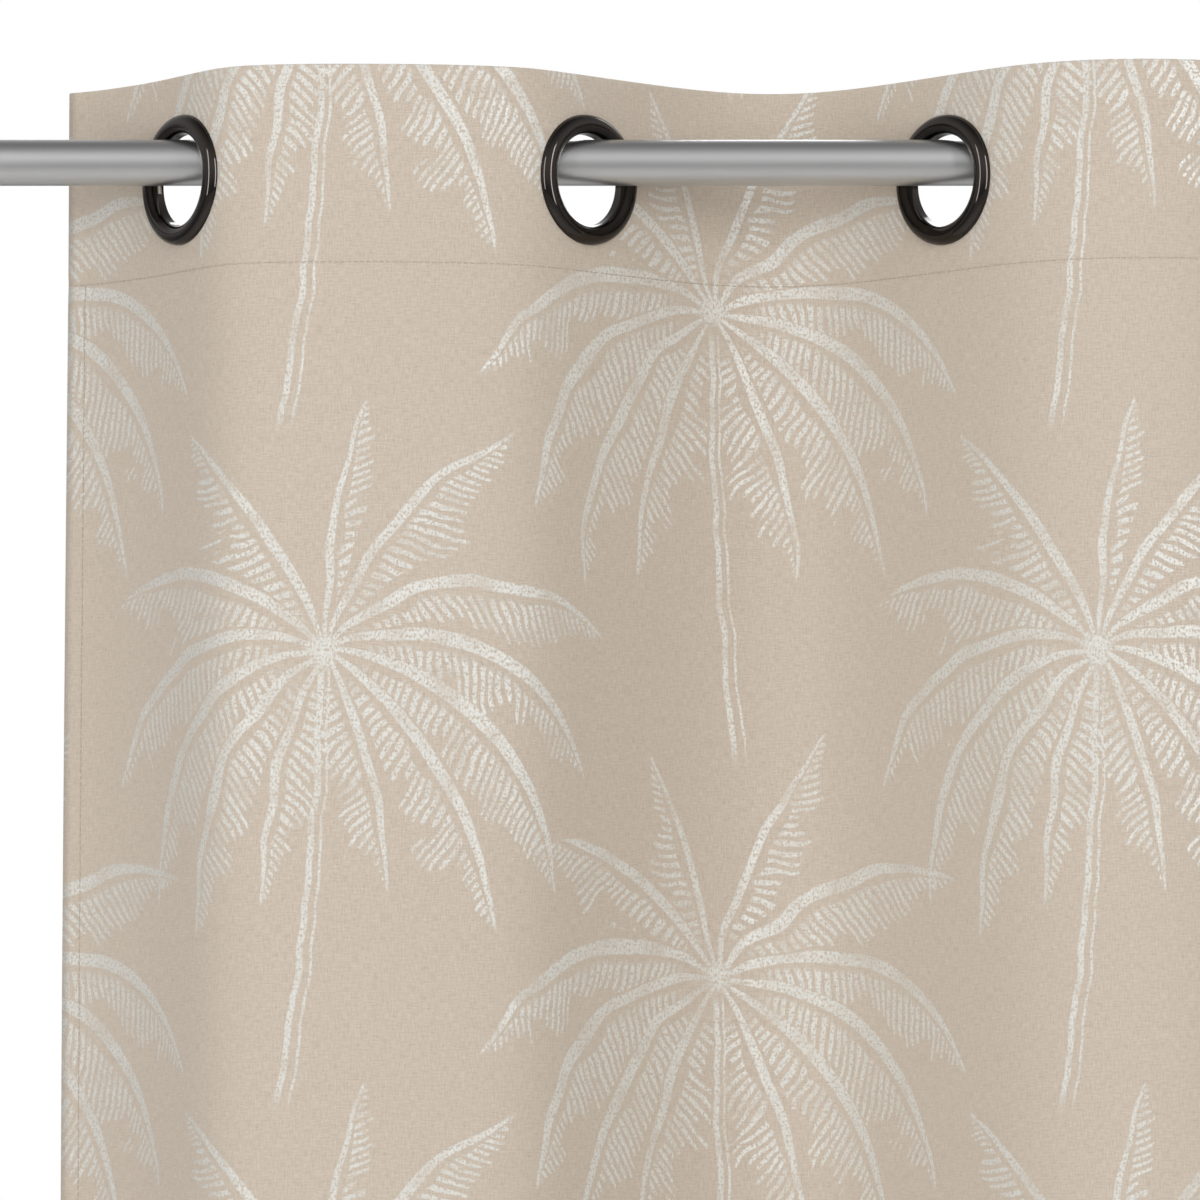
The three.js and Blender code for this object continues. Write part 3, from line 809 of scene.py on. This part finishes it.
def palm_motif(tree, along, depth):
    """Where the silvery yarn comes to the face: two palms in a half-drop repeat."""
    mask = None
    for across, down, right, left, lean, seed in PALMS:
        x = tree.math("WRAP", along - across, PALM_WIDE / 2, -PALM_WIDE / 2)
        y = down - depth
        crown_y = tree.math("WRAP", y, PALM_HIGH * 0.42, -PALM_HIGH * 0.58)
        trunk_y = tree.math("WRAP", y, PALM_HIGH * 0.1, -PALM_HIGH * 0.9)
        shake = tree.noise(tree.join(x, crown_y, seed), 26.0, 1.0)
        shaken = (shake - 0.5) * 0.009
        tuft = tree.noise(tree.join(x, crown_y, seed + 5), 62.0, 1.0)
        place = tree.join(x + shaken, crown_y - shaken)
        trunk = {"Place": tree.join(x, trunk_y), "Lean": lean, "Seed": seed}
        spot = {0: tree.join(x, crown_y)}
        from_hub = tree.out(tree.node("ShaderNodeVectorMath", spot, operation="LENGTH"), "Value")
        hub = tree.ramp(from_hub + tuft * 0.01, 0.0145, 0.0085)
        drawn = tree.place(TRUNK, trunk)["Mask"] | hub
        out, up, _ = tree.split(place)
        way = tree.math("ARCTAN2", up, out)
        # how far a frond's way has turned from its start, as they curl most when level
        curled = tree.math("ARCSINE", tree.math("MULTIPLY", abs(x), 5.4, clamp=True))
        for fronds, side in ((right, -1.0), (left, 1.0)):
            turns = tree.math("FRACT", (way - curled * side) / math.tau + 1.25)
            chosen = frond_chooser(tree, turns, fronds, side)
            frond = {"Place": place, "Tuft": tuft, "Side": side, **chosen}
            drawn = drawn | tree.place(FROND, frond)["Mask"]
        mask = mask | drawn if mask else drawn
    return mask


def jacquard(name, ground_colours, yarn_colours, shine):
    """Matt beige ground with palms in a smoother, silvery yarn."""
    material, tree, shader = new_material(name)
    measure = tree.out(tree.node("ShaderNodeUVMap", uv_map="cloth"))
    along, depth, _ = tree.split(measure)
    woven = tree.place(WOVEN, {"Cloth": measure})
    # the motif's yarn surfaces in dots, so that its strokes are chalky
    dots = tree.ramp(woven["Fleck"], 0.32, 0.54)
    patchy = tree.ramp(tree.noise(measure, 60.0), 0.3, 0.55, 0.55, 1.0)
    silver = palm_motif(tree, along, depth) * dots * patchy
    tone = tree.line(woven["Tone"], 0.3, 0.7)
    ground, yarn = tree.mix(tone, *ground_colours), tree.mix(tone, *yarn_colours)
    tree.fill(shader, {
        "Base Color": tree.mix(silver, ground, yarn),
        "Roughness": tree.line(silver, 0, 1, 0.88, 0.42),
        "Metallic": silver * shine,
        "Sheen Weight": 0.25,
        "Sheen Roughness": 0.5,
        "Sheen Tint": (0.9, 0.86, 0.8, 1),
        "Specular IOR Level": 0.3,
        "Normal": tree.bump(woven["Height"], 0.00025, 0.8),
    })
    return material


def yarn_material(name, colour, dark):
    """Twisted sewing thread or tape."""
    material, tree, shader = new_material(name)
    fibres = tree.noise(tree.where(), 2600.0)
    tree.fill(shader, {
        "Base Color": tree.mix(fibres, dark, colour),
        "Roughness": tree.line(fibres, 0.2, 0.8, 0.65, 0.9),
        "Sheen Weight": 0.2,
        "Normal": tree.bump(fibres, 0.0001, 0.6),
    })
    return material


def metal(name, colour, dark, rough, fineness=1.0, depth=0.00001, metallic=1.0):
    """A metal with brushing, blotches and a slightly darker tone in its scratches."""
    material, tree, shader = new_material(name)
    worn = tree.place(BRUSHED, {"Place": tree.where(), "Fineness": fineness})
    tree.fill(shader, {
        "Base Color": tree.mix(worn["Rough"], colour, dark),
        "Roughness": tree.line(worn["Rough"], 0.25, 0.75, *rough),
        "Metallic": metallic,
        "Normal": tree.bump(worn["Height"], depth, 0.5),
    })
    return material


def plastic():
    material, tree, shader = new_material("moulded plastic")
    grain = tree.noise(tree.where(), 1800.0)
    tree.fill(shader, {
        "Base Color": tree.mix(grain, (0.012, 0.012, 0.013, 1), (0.03, 0.03, 0.031, 1)),
        "Roughness": tree.line(grain, 0.3, 0.7, 0.4, 0.55),
        "Normal": tree.bump(grain, 0.00005, 0.5),
    })
    return material


BEIGE = ((0.402, 0.338, 0.275, 1), (0.55, 0.479, 0.399, 1))
SILVER = ((0.515, 0.508, 0.475, 1), (0.655, 0.648, 0.61, 1))
DULL_SILVER = ((0.455, 0.4, 0.345, 1), (0.59, 0.535, 0.47, 1))  # floats crossed by beige yarn
DEEP_BEIGE = ((0.36, 0.29, 0.225, 1), (0.47, 0.39, 0.31, 1))
JACQUARD = jacquard("palm jacquard", BEIGE, SILVER, 0.35)
REVERSE = jacquard("palm jacquard reverse", DULL_SILVER, DEEP_BEIGE, 0.0)
# the thread is darker than the cloth: partly the thread's own brown, partly painted shade of the
# dots where the stitches sit
THREAD_DARKENED_FOR_SHADE = yarn_material("sewing thread", (0.47, 0.40, 0.32, 1), (0.33, 0.28, 0.225, 1))
STIFFENER = yarn_material("stiffener tape", (0.84, 0.82, 0.77, 1), (0.7, 0.68, 0.62, 1))
SATIN = metal("satin steel", (0.60, 0.60, 0.60, 1), (0.50, 0.50, 0.50, 1), (0.33, 0.42))
NICKEL = metal(
    "black nickel", (0.06, 0.053, 0.049, 1), (0.042, 0.037, 0.034, 1), (0.05, 0.1), 0.3, 0.000002
)
LACQUER = metal(
    "lacquered steel", (0.5, 0.5, 0.49, 1), (0.4, 0.4, 0.39, 1), (0.34, 0.48), 0.5, metallic=0.8
)
ZINC = metal("zinc plate", (0.6, 0.61, 0.63, 1), (0.42, 0.43, 0.45, 1), (0.2, 0.42), 0.4)
PLASTIC = plastic()


def dress(obj, material, *others):
    obj.data.materials.clear()
    for each in (material, *others):
        obj.data.materials.append(each)
    return obj


# ---------------------------------------------------------------- camera, light and floor

VIEW_DISTANCE = 3.5  # from the rod
VIEW_WIDTH = 0.519  # across the picture at the rod
VIEW_HEIGHT_BELOW_ROD = 0.47
AIM_RIGHT_OF_EYELET = 0.1807  # of the first eyelet
AIM_BELOW_ROD = 0.1905
SENSOR = 36  # millimetres


def look(obj, spot, target):
    """Stands a camera or a light at a spot and points it."""
    obj.location = spot
    obj.rotation_euler = (target - Vector(spot)).to_track_quat("-Z", "Y").to_euler()


def add_camera():
    _, y, z = rod_centre
    aim = Vector((eyelets[0][0].x + AIM_RIGHT_OF_EYELET, y, z - AIM_BELOW_ROD))
    spot = Vector((aim.x, y - VIEW_DISTANCE, z - VIEW_HEIGHT_BELOW_ROD))
    data = bpy.data.cameras.new("camera")
    data.sensor_width = SENSOR
    data.lens = SENSOR * (aim - spot).length / VIEW_WIDTH
    data.clip_end = 50
    camera = link("camera", data)
    look(camera, spot, aim)
    bpy.context.scene.camera = camera
    return aim


def add_softbox(name, spot, target, size, watts):
    data = bpy.data.lights.new(name, "AREA")
    data.shape = "RECTANGLE"
    data.size, data.size_y = size
    data.energy = watts
    light = link(name, data)
    look(light, spot, target)
    light.visible_camera = False
    return light


# the room in the metal: grey at a height, from straight below to straight above
BANDS = (
    (0.0, 0.9), (0.13, 0.4), (0.25, 0.35), (0.4, 0.4), (0.5, 0.75),
    (0.66, 1.1), (0.82, 0.85), (0.95, 0.42), (1.0, 0.25),
)


def add_world():
    """White behind the object, and soft bands of grey round it."""
    world = bpy.data.worlds.new("studio")
    bpy.context.scene.world = world
    world.use_nodes = True
    world.node_tree.nodes.clear()
    tree = Tree(world.node_tree)
    height = tree.split(tree.where("Generated"))[2]
    ramp = tree.node("ShaderNodeValToRGB", {0: tree.line(height, -1, 1)})
    elements = ramp.color_ramp.elements
    elements[0].position, elements[1].position = BANDS[0][0], BANDS[-1][0]
    for position, _ in BANDS[1:-1]:
        elements.new(position)
    for element, (_, grey) in zip(elements, BANDS):
        element.color = (grey, grey, grey, 1)
    lit = tree.node("ShaderNodeBackground", {"Color": tree.out(ramp), "Strength": 0.75})
    seen = tree.node("ShaderNodeBackground", {"Color": (1, 1, 1, 1), "Strength": 1.0})
    by_camera = tree.out(tree.node("ShaderNodeLightPath"), "Is Camera Ray")
    mix = tree.node("ShaderNodeMixShader", {0: by_camera, 1: tree.out(lit), 2: tree.out(seen)})
    tree.node("ShaderNodeOutputWorld", {0: tree.out(mix)})


FLOOR_DROP = 25 * MM  # below the curtain's lower edge


def add_floor():
    bpy.ops.mesh.primitive_plane_add(size=9, location=(0, -1.2, cad_low[2] - FLOOR_DROP))
    floor = rename("studio_floor")
    material, tree, shader = new_material("pale floor")
    cloud = tree.noise(tree.where(), 3.0, 3.0)
    colour = tree.mix(cloud, (0.8, 0.8, 0.79, 1), (0.84, 0.84, 0.83, 1))
    tree.fill(shader, {"Base Color": colour, "Roughness": 0.7})
    dress(floor, material)


bpy.context.scene.view_settings.view_transform = "Standard"
aim = add_camera()
key = add_softbox("key", (0.9, -2.8, 0.2), aim, (1.8, 2.0), 44)
fill = add_softbox("fill", (-2.4, -2.2, -0.3), aim, (1.6, 2.2), 38)
top = add_softbox("top", (-0.3, -1.1, 1.9), aim, (1.8, 0.9), 7)
for light in (key, fill, top):  # the metal shows the room's bands of grey instead
    light.visible_glossy = False
add_softbox("back", (0.4, 1.8, 1.2), aim, (2.0, 1.2), 25)
for side, watts in ((-1, 13), (1, 17)):  # thin boxes that draw the streaks on polished rings
    streak = add_softbox("streak", (aim.x + side * 1.25, -1.5, 0.25), aim, (0.3, 1.7), watts)
    streak.visible_diffuse = False
add_world()
deselect()
add_floor()

# ---------------------------------------------------------------- the curtain


def stiffener_sheet():
    """The tape between the two layers of the heading, with the same holes."""
    cloth = Cloth()
    rows = [1.5 * MM, *head_rows()[1:6], HEADING - 2 * SEAM_WIDTH]
    in_tape = lambda along, depth: place_on_path(along, depth, TAPE_LAYER)
    holed_layer(cloth, rows, in_tape)
    return mesh_object("stiffener", cloth.work)


def measured_points(sheet):
    """Every vertex of the front layer: distance along the cloth, depth, place and normal."""
    mesh = sheet.data
    found = {}
    for loop in mesh.loops:
        along, depth = mesh.uv_layers["cloth"].data[loop.index].uv
        if depth >= 0:
            vertex = mesh.vertices[loop.vertex_index]
            found[loop.vertex_index] = (along, depth, vertex.co.copy(), vertex.normal.copy())
    return list(found.values())


def seam_line(points, along=None, depth=None):
    """The cloth's own points along one of its columns or rows, in order."""
    near = 0.3 * MM  # smoothing shifts a row a little
    if along is not None:
        line = [p for p in points if abs(p[0] - along) < near and p[1] > HEADING]
        return sorted(line, key=lambda p: p[1])
    line = [p for p in points if abs(p[1] - depth) < near]
    return sorted(line, key=lambda p: p[0])


def stitch_template():
    """One stitch lying along X: a short tapered thread with few faces."""
    bpy.ops.mesh.primitive_cylinder_add(vertices=6, radius=STITCH_RADIUS, depth=STITCH_LENGTH)
    stitch = rename("stitch")
    edit(stitch)
    bpy.ops.transform.rotate(value=math.pi / 2, orient_axis="Y", center_override=(0, 0, 0))
    leave()
    apply_modifier(stitch, "BEVEL", width=STITCH_RADIUS * 0.7, segments=1, limit_method="ANGLE")
    return stitch


def spread_stitches(name, line, template, lift):
    """Stitches at an even pitch along a line of points, each lying on the cloth."""
    places = [p[2] for p in line]
    steps = running_length(places)
    work = bmesh.new()
    for number in range(int(steps[-1] / STITCH_PITCH)):
        s = (number + 0.5) * STITCH_PITCH
        i = min(int(np.searchsorted(steps, s)), len(places) - 1)
        share = (s - steps[i - 1]) / (steps[i] - steps[i - 1])
        spot = places[i - 1].lerp(places[i], share)
        normal = line[i - 1][3].lerp(line[i][3], share).normalized()
        way = (places[i] - places[i - 1]).normalized()
        side = normal.cross(way).normalized()
        turn = Matrix((way, side, normal)).transposed().to_4x4()
        start = len(work.verts)
        work.from_mesh(template.data)
        work.verts.ensure_lookup_table()
        move = Matrix.Translation(spot + normal * lift) @ turn
        bmesh.ops.transform(work, matrix=move, verts=work.verts[start:])
    obj = mesh_object(name, work)
    for face in obj.data.polygons:
        face.use_smooth = True
    return obj


def fold_of(x):
    """The fold that an x lies in."""
    return 1 + sum(x > spot.x for spot, _ in eyelets[1:-1])


def by_fold(line):
    """A seam line cut where it crosses from one fold to the next, with that point in both."""
    parts = {}
    last = None
    for point in line:
        fold = fold_of(point[2].x)
        if last not in (None, fold):
            parts[last].append(point)
        parts.setdefault(fold, []).append(point)
        last = fold
    return parts


def add_stitches(points):
    template = stitch_template()
    on_top = CLOTH / 2 + STITCH_RADIUS * 0.3
    rows = []
    across = (("heading", HEADING), ("lower_hem", CURTAIN_HEIGHT - BOTTOM_HEM))
    for title, depth in across:
        for fold, line in by_fold(seam_line(points, depth=depth)).items():
            rows.append((f"{title}_stitches_{fold}", line, fold))
    down = (("left", SIDE_HEM, 1), ("right", path.length - SIDE_HEM, FOLDS))
    for side, along, fold in down:
        rows.append((f"side_hem_stitches_{side}", seam_line(points, along=along), fold))
    for name, line, fold in rows:
        thread = spread_stitches(name, line, template, on_top)
        sew(dress(thread, THREAD_DARKENED_FOR_SHADE), fold)
    bpy.data.objects.remove(template)


def add_hem(sheet, name, fold, inside):
    """A band of cloth turned over behind the panel, where inside(along, depth) holds."""
    band = duplicate(sheet, "band")
    work = bmesh.new()
    work.from_mesh(band.data)
    uv = work.loops.layers.uv["cloth"]

    def outside(face):
        middle = sum((loop[uv].uv for loop in face.loops), Vector((0, 0))) / len(face.loops)
        return not inside(middle.x, middle.y)

    spare = [face for face in work.faces if outside(face)]
    bmesh.ops.delete(work, geom=spare, context="FACES")
    work.normal_update()
    for vertex in work.verts:
        vertex.co -= vertex.normal * HEM_LIFT
    work.to_mesh(band.data)
    work.free()
    dress(band, REVERSE, JACQUARD)  # turned over, so its face shows at the back
    apply_modifier(band, "SOLIDIFY", thickness=CLOTH, offset=0.0, material_offset=1)
    sew(cut_fold(band, name, fold), fold)
    bpy.data.objects.remove(band)


def add_curtain():
    whole = cloth_sheet()
    drape(whole)
    apply_modifier(whole, "SUBSURF", levels=1, render_levels=1)
    sheet = duplicate(whole, "sheet")
    dress(whole, JACQUARD, REVERSE)
    apply_modifier(
        whole, "SOLIDIFY", thickness=CLOTH, offset=0.0, use_even_offset=True, material_offset=1
    )
    tape = stiffener_sheet()
    apply_modifier(tape, "SUBSURF", levels=1, render_levels=1)
    apply_modifier(tape, "SOLIDIFY", thickness=TAPE, offset=0.0)
    hem_top = CURTAIN_HEIGHT - BOTTOM_HEM
    for fold in range(1, FOLDS + 1):
        piece = cut_fold(whole, f"curtain_fold_{fold}", fold)
        keep_normals(piece, whole)
        sew(piece, fold)
        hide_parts(f"cloth_fold_{fold}")
        stiff = cut_fold(tape, f"stiffener_tape_{fold}", fold)
        dress(stiff, STIFFENER)
        gather(stiff, fold)
        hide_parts(f"heading_band_{fold}")
        add_hem(sheet, f"lower_hem_{fold}", fold, lambda a, d: d > hem_top)
    edge = path.length - SIDE_HEM
    in_side = lambda depth: HEADING + 3 * SEAM_WIDTH < depth < hem_top - SEAM_WIDTH
    add_hem(sheet, "side_hem_left", 1, lambda a, d: a < SIDE_HEM and in_side(d))
    add_hem(sheet, "side_hem_right", FOLDS, lambda a, d: a > edge and in_side(d))
    add_stitches(measured_points(sheet))
    for spare in (whole, sheet, tape):
        bpy.data.objects.remove(spare)


def keep_normals(piece, whole):
    """Shades a cut piece as the uncut cloth was, so that no line shows where pieces meet."""
    activate(piece)
    bpy.ops.object.shade_smooth()
    apply_modifier(
        piece,
        "DATA_TRANSFER",
        object=whole,
        use_loop_data=True,
        data_types_loops={"CUSTOM_NORMAL"},
        loop_mapping="POLYINTERP_NEAREST",
    )


# ---------------------------------------------------------------- turned and cut metal pieces


def outline_object(name, points):
    bpy.ops.mesh.primitive_circle_add(vertices=len(points), radius=1)
    obj = rename(name)
    for vertex, point in zip(obj.data.vertices, points):
        vertex.co = point
    return obj


def turn_section(name, section, steps=96, on_axis=False):
    """A section of (radius, height) in millimetres turned about Z, left open on the axis."""
    obj = outline_object(name, [(radius * MM, 0, height * MM) for radius, height in section])
    work = edit(obj)
    if on_axis:
        work.edges.ensure_lookup_table()
        spare = [e for e in work.edges if all(abs(v.co.x) < 1e-9 for v in e.verts)]
        bmesh.ops.delete(work, geom=spare, context="EDGES")
        bmesh.update_edit_mesh(obj.data)
    bpy.ops.mesh.spin(steps=steps, angle=math.tau, center=(0, 0, 0), axis=(0, 0, 1))
    bpy.ops.mesh.select_all(action="SELECT")
    bpy.ops.mesh.remove_doubles(threshold=1e-7)
    bpy.ops.mesh.normals_make_consistent(inside=False)
    leave()
    return obj


def extruded(name, outline, move, bevel):
    """A flat outline of points, filled, pushed out into a solid and softened at its edges."""
    obj = outline_object(name, outline)
    edit(obj)
    bpy.ops.mesh.edge_face_add()
    bpy.ops.mesh.extrude_region_move(TRANSFORM_OT_translate={"value": move})
    bpy.ops.mesh.select_all(action="SELECT")
    bpy.ops.mesh.normals_make_consistent(inside=False)
    leave()
    limit = math.radians(50)
    apply_modifier(
        obj, "BEVEL", width=bevel, segments=3, limit_method="ANGLE", angle_limit=limit
    )
    return obj


def arc(centre, radius, start, end, steps):
    """Points of (radius, height) on an arc about a centre; radius may be a pair."""
    wide, high = radius if isinstance(radius, tuple) else (radius, radius)
    points = []
    for k in range(steps + 1):
        angle = math.radians(start + (end - start) * k / steps)
        points.append((centre[0] + wide * math.cos(angle), centre[1] + high * math.sin(angle)))
    return points


def place_mesh(obj, matrix):
    """Moves a mesh and leaves its object at the origin."""
    obj.data.transform(matrix)
    return obj


def fit(obj, body, material, slot, *nodes):
    """Dresses a finished piece, lets it stand for its CAD parts and ride with their body."""
    smooth(obj)
    dress(obj, material)
    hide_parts(*nodes)
    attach(obj, body)
    return obj


def cut_with(obj, cutter):
    apply_modifier(obj, "BOOLEAN", object=cutter, operation="DIFFERENCE", solver="EXACT")
    bpy.data.objects.remove(cutter)


def cutter_rod(radius, depth, location, rotation=(0, 0, 0), sides=32):
    bpy.ops.mesh.primitive_cylinder_add(
        vertices=sides, radius=radius, depth=depth, location=location, rotation=rotation
    )
    return settle(rename("cutter"))


ALONG_X = Matrix.Rotation(math.pi / 2, 4, "Y")
TO_ROOM = Matrix.Rotation(math.pi / 2, 4, "X")  # turns +Z to -Y


def add_eyelets():
    front = arc((24.25, 1.25), (4.25, 4.05), 0, 180, 20)
    front += [(20.0, -2.2), (20.25, -2.45), (20.95, -2.45), (21.2, -2.2), (21.2, 0.95)]
    front += [(28.2, 0.95)]
    back = arc((24.8, -1.3), (3.3, 2.5), 0, -180, 16)
    back += [(21.5, -1.02), (28.0, -1.02)]
    for number, (spot, facing) in enumerate(eyelets, 1):
        turn = facing.to_track_quat("Z", "Y").to_matrix().to_4x4()
        move = Matrix.Translation(spot) @ turn
        for side, section in (("front", front), ("back", back)):
            ring = turn_section(f"eyelet_{side}_ring_{number}", section, 96)
            place_mesh(ring, move)
            node = f"eyelet_{side}_{number}"
            fit(ring, f"eyelet_{number}", NICKEL, "black_nickel", node)


def add_rod():
    half = (rod_high.x - rod_low.x) / 2 / MM
    outer = ROD_RADIUS / MM
    inner = outer - 1
    section = [(inner, -half), (outer - 0.3, -half), (outer, 0.3 - half)]
    section += [(outer, half - 0.3), (outer - 0.3, half), (inner, half)]
    rod = turn_section("curtain_rod", section, 96)
    place_mesh(rod, Matrix.Translation(rod_centre) @ ALONG_X)
    fit(rod, "rod", SATIN, "rod_steel", "rod_tube")


def add_finials():
    profile = [(0, 0.3), (11.1, 0.3), (11.5, 0.7), (11.5, 3.9), (11.1, 4.3), (8.6, 4.3)]
    profile += arc((8.6, 5.8), (0.9, 1.5), 270, 90, 8) + [(8.6, 7.3), (13.3, 7.3)]
    profile += [(14.0, 7.6), (14.5, 8.4), (14.5, 12.0)] + arc((14.5, 12.8), 0.8, 270, 90, 8)
    profile += [(14.5, 31.2)] + arc((14.5, 32.0), 0.8, 270, 90, 8) + [(14.5, 36.6)]
    profile += [(14.5 * math.cos(a), 37.3 + 4 * math.sin(a)) for a in np.linspace(0.05, 1.5, 12)]
    profile += [(0, 41.3)]
    ribs = [(0, -30), (7.4, -30), (8.2, -28.6)]
    for k in range(6):
        base = -26.0 + 4 * k
        ribs += [(8.2, base - 1.2), (8.7, base - 0.6), (8.7, base + 0.4), (8.2, base + 1.0)]
    ribs += [(8.2, -1.0), (8.2, 0), (0, 0)]
    for side, x, sign in (("left", rod_low.x, -1), ("right", rod_high.x, 1)):
        turn = Matrix.Rotation(sign * math.pi / 2, 4, "Y")
        move = Matrix.Translation((x, rod_centre.y, rod_centre.z)) @ turn
        for title, section, material, slot, node in (
            ("finial_head", profile, SATIN, "rod_steel", "finial"),
            ("finial_plug", ribs, PLASTIC, "black_plastic", "finial_insert"),
        ):
            piece = turn_section(f"{title}_{side}", section, 72, on_axis=True)
            place_mesh(piece, move)
            fit(piece, f"end_{side}", material, slot, f"{node}_{side}")


def bracket_plate():
    section = [(0, 0), (21.6, 0), (22, 0.4), (22, 3.2), (21.2, 4), (0, 4)]
    plate = turn_section("plate", section, 72, on_axis=True)
    place_mesh(plate, TO_ROOM)
    for z in (-14 * MM, 14 * MM):
        cut_with(plate, cutter_rod(2.5 * MM, 20 * MM, (0, 0, z), (math.pi / 2, 0, 0)))
        bpy.ops.mesh.primitive_cone_add(
            vertices=32, radius1=5 * MM, radius2=0, depth=5 * MM,
            location=(0, -4 * MM + 1.9 * MM, z), rotation=(-math.pi / 2, 0, 0),
        )
        cut_with(plate, settle(rename("countersink")))
    return plate


def bracket_cover():
    section = [(25.5, 0.5), (27, 0.5), (27, 8.2)] + arc((23.2, 8.2), 3.8, 0, 90, 10)
    section += [(11.3, 12)] + arc((11.3, 13.8), 1.8, 270, 180, 6) + [(9.5, 20.4), (8.9, 21)]
    section += [(6.9, 21), (6.3, 20.4), (6.3, 10.5), (22.5, 10.5)] + arc((22.5, 7.5), 3.0, 90, 0, 8)
    cover = turn_section("cover", section, 96)
    place_mesh(cover, TO_ROOM)
    cut_with(cover, cutter_rod(2.3 * MM, 9 * MM, (0, -16.5 * MM, -9.5 * MM)))
    return cover


def grub_screw():
    section = [(0, -9.5), (1.7, -9.5), (2.0, -9.2)]
    for k in range(5):
        section += [(2.0, -8.9 + 0.5 * k), (1.75, -8.65 + 0.5 * k)]
    section += [(2.0, -6.5), (1.6, -6.3), (0, -6.3)]
    screw = turn_section("grub", section, 32, on_axis=True)
    cut_with(screw, cutter_rod(1.1 * MM, 3.2 * MM, (0, 0, -9.5 * MM), sides=6))
    return place_mesh(screw, Matrix.Translation((0, -16.5 * MM, 0)))


def bracket_arm():
    start, end = 4.3, -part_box("bracket_arm_left")[0][1] / MM
    section = [(0, start), (5.6, start), (6, start + 0.4), (6, end - 0.4), (5.6, end), (0, end)]
    arm = turn_section("arm", section, 64, on_axis=True)
    return place_mesh(arm, TO_ROOM)


def cradle_outline():
    """The hook's side view as (depth, height) from the rod's axis, in millimetres."""
    inner, outer = 10.3, 13.3
    middle, lip_at = (inner + outer) / 2, math.radians(190)
    tip = (middle * math.cos(lip_at), middle * math.sin(lip_at))
    lip = arc(tip, (outer - inner) / 2, 10, 190, 8)[1:-1]
    points = [(inner, 9.4), (inner, 0)] + arc((0, 0), inner, 0, -170, 30)[1:]
    points += lip + arc((0, 0), outer, -170, -50, 24)
    return points + [(outer, -8), (outer, 9.4), (outer - 0.6, 10), (inner + 0.6, 10)]


def rod_cradle():
    outline = [(-7 * MM, depth * MM, height * MM) for depth, height in cradle_outline()]
    cradle = extruded("cradle", outline, (14 * MM, 0, 0), 0.5 * MM)
    cut_with(cradle, cutter_rod(2.8 * MM, 10 * MM, (0, 0, -12 * MM)))
    return cradle


def thumb_screw():
    """A fluted head with its threaded shank."""
    outline = []  # of the head's underside
    for k in range(96):
        angle = math.pi / 2 + math.tau * k / 96
        reach = (6 + 0.35 * math.cos(12 * angle)) * MM
        outline.append((reach * math.cos(angle), reach * math.sin(angle), -21.8 * MM))
    head = extruded("thumb", outline, (0, 0, 7 * MM), 0.7 * MM)
    section = [(0, -15.4), (2.5, -15.4)]
    for k in range(8):
        section += [(2.5, -14.9 + 0.5 * k), (2.2, -14.65 + 0.5 * k)]
    section += [(2.5, -10.7), (2.1, -10.3), (0, -10.3)]
    shank = turn_section("shank", section, 32, on_axis=True)
    deselect()
    shank.select_set(True)
    head.select_set(True)
    bpy.context.view_layer.objects.active = head
    bpy.ops.object.join()
    return head


def add_brackets():
    makers = (
        ("wall_plate", bracket_plate, ZINC, "zinc_screws", "bracket_plate"),
        ("plate_cover", bracket_cover, SATIN, "rod_steel", "bracket_cover"),
        ("cover_grub_screw", grub_screw, ZINC, "zinc_screws", "grub_screw"),
        ("bracket_arm", bracket_arm, LACQUER, "bracket_steel", "arm"),
        ("rod_cradle", rod_cradle, LACQUER, "bracket_steel", "cradle"),
        ("thumb_screw", thumb_screw, ZINC, "zinc_screws", "clamp_screw"),
    )
    for node, make, material, slot, title in makers:
        pattern = make()
        at_rod = node in ("rod_cradle", "thumb_screw")
        for side in ("left", "right"):
            piece = duplicate(pattern, f"{title}_{side}")
            x = centre(f"bracket_arm_{side}").x
            shift = (x, rod_centre.y, rod_centre.z) if at_rod else (x, 0, rod_centre.z)
            place_mesh(piece, Matrix.Translation(shift))
            body = f"thumb_{side}" if node == "thumb_screw" else "brackets"
            fit(piece, body, material, slot, f"{node}_{side}")
        bpy.data.objects.remove(pattern)


add_curtain()
add_eyelets()
add_rod()
add_finials()
add_brackets()
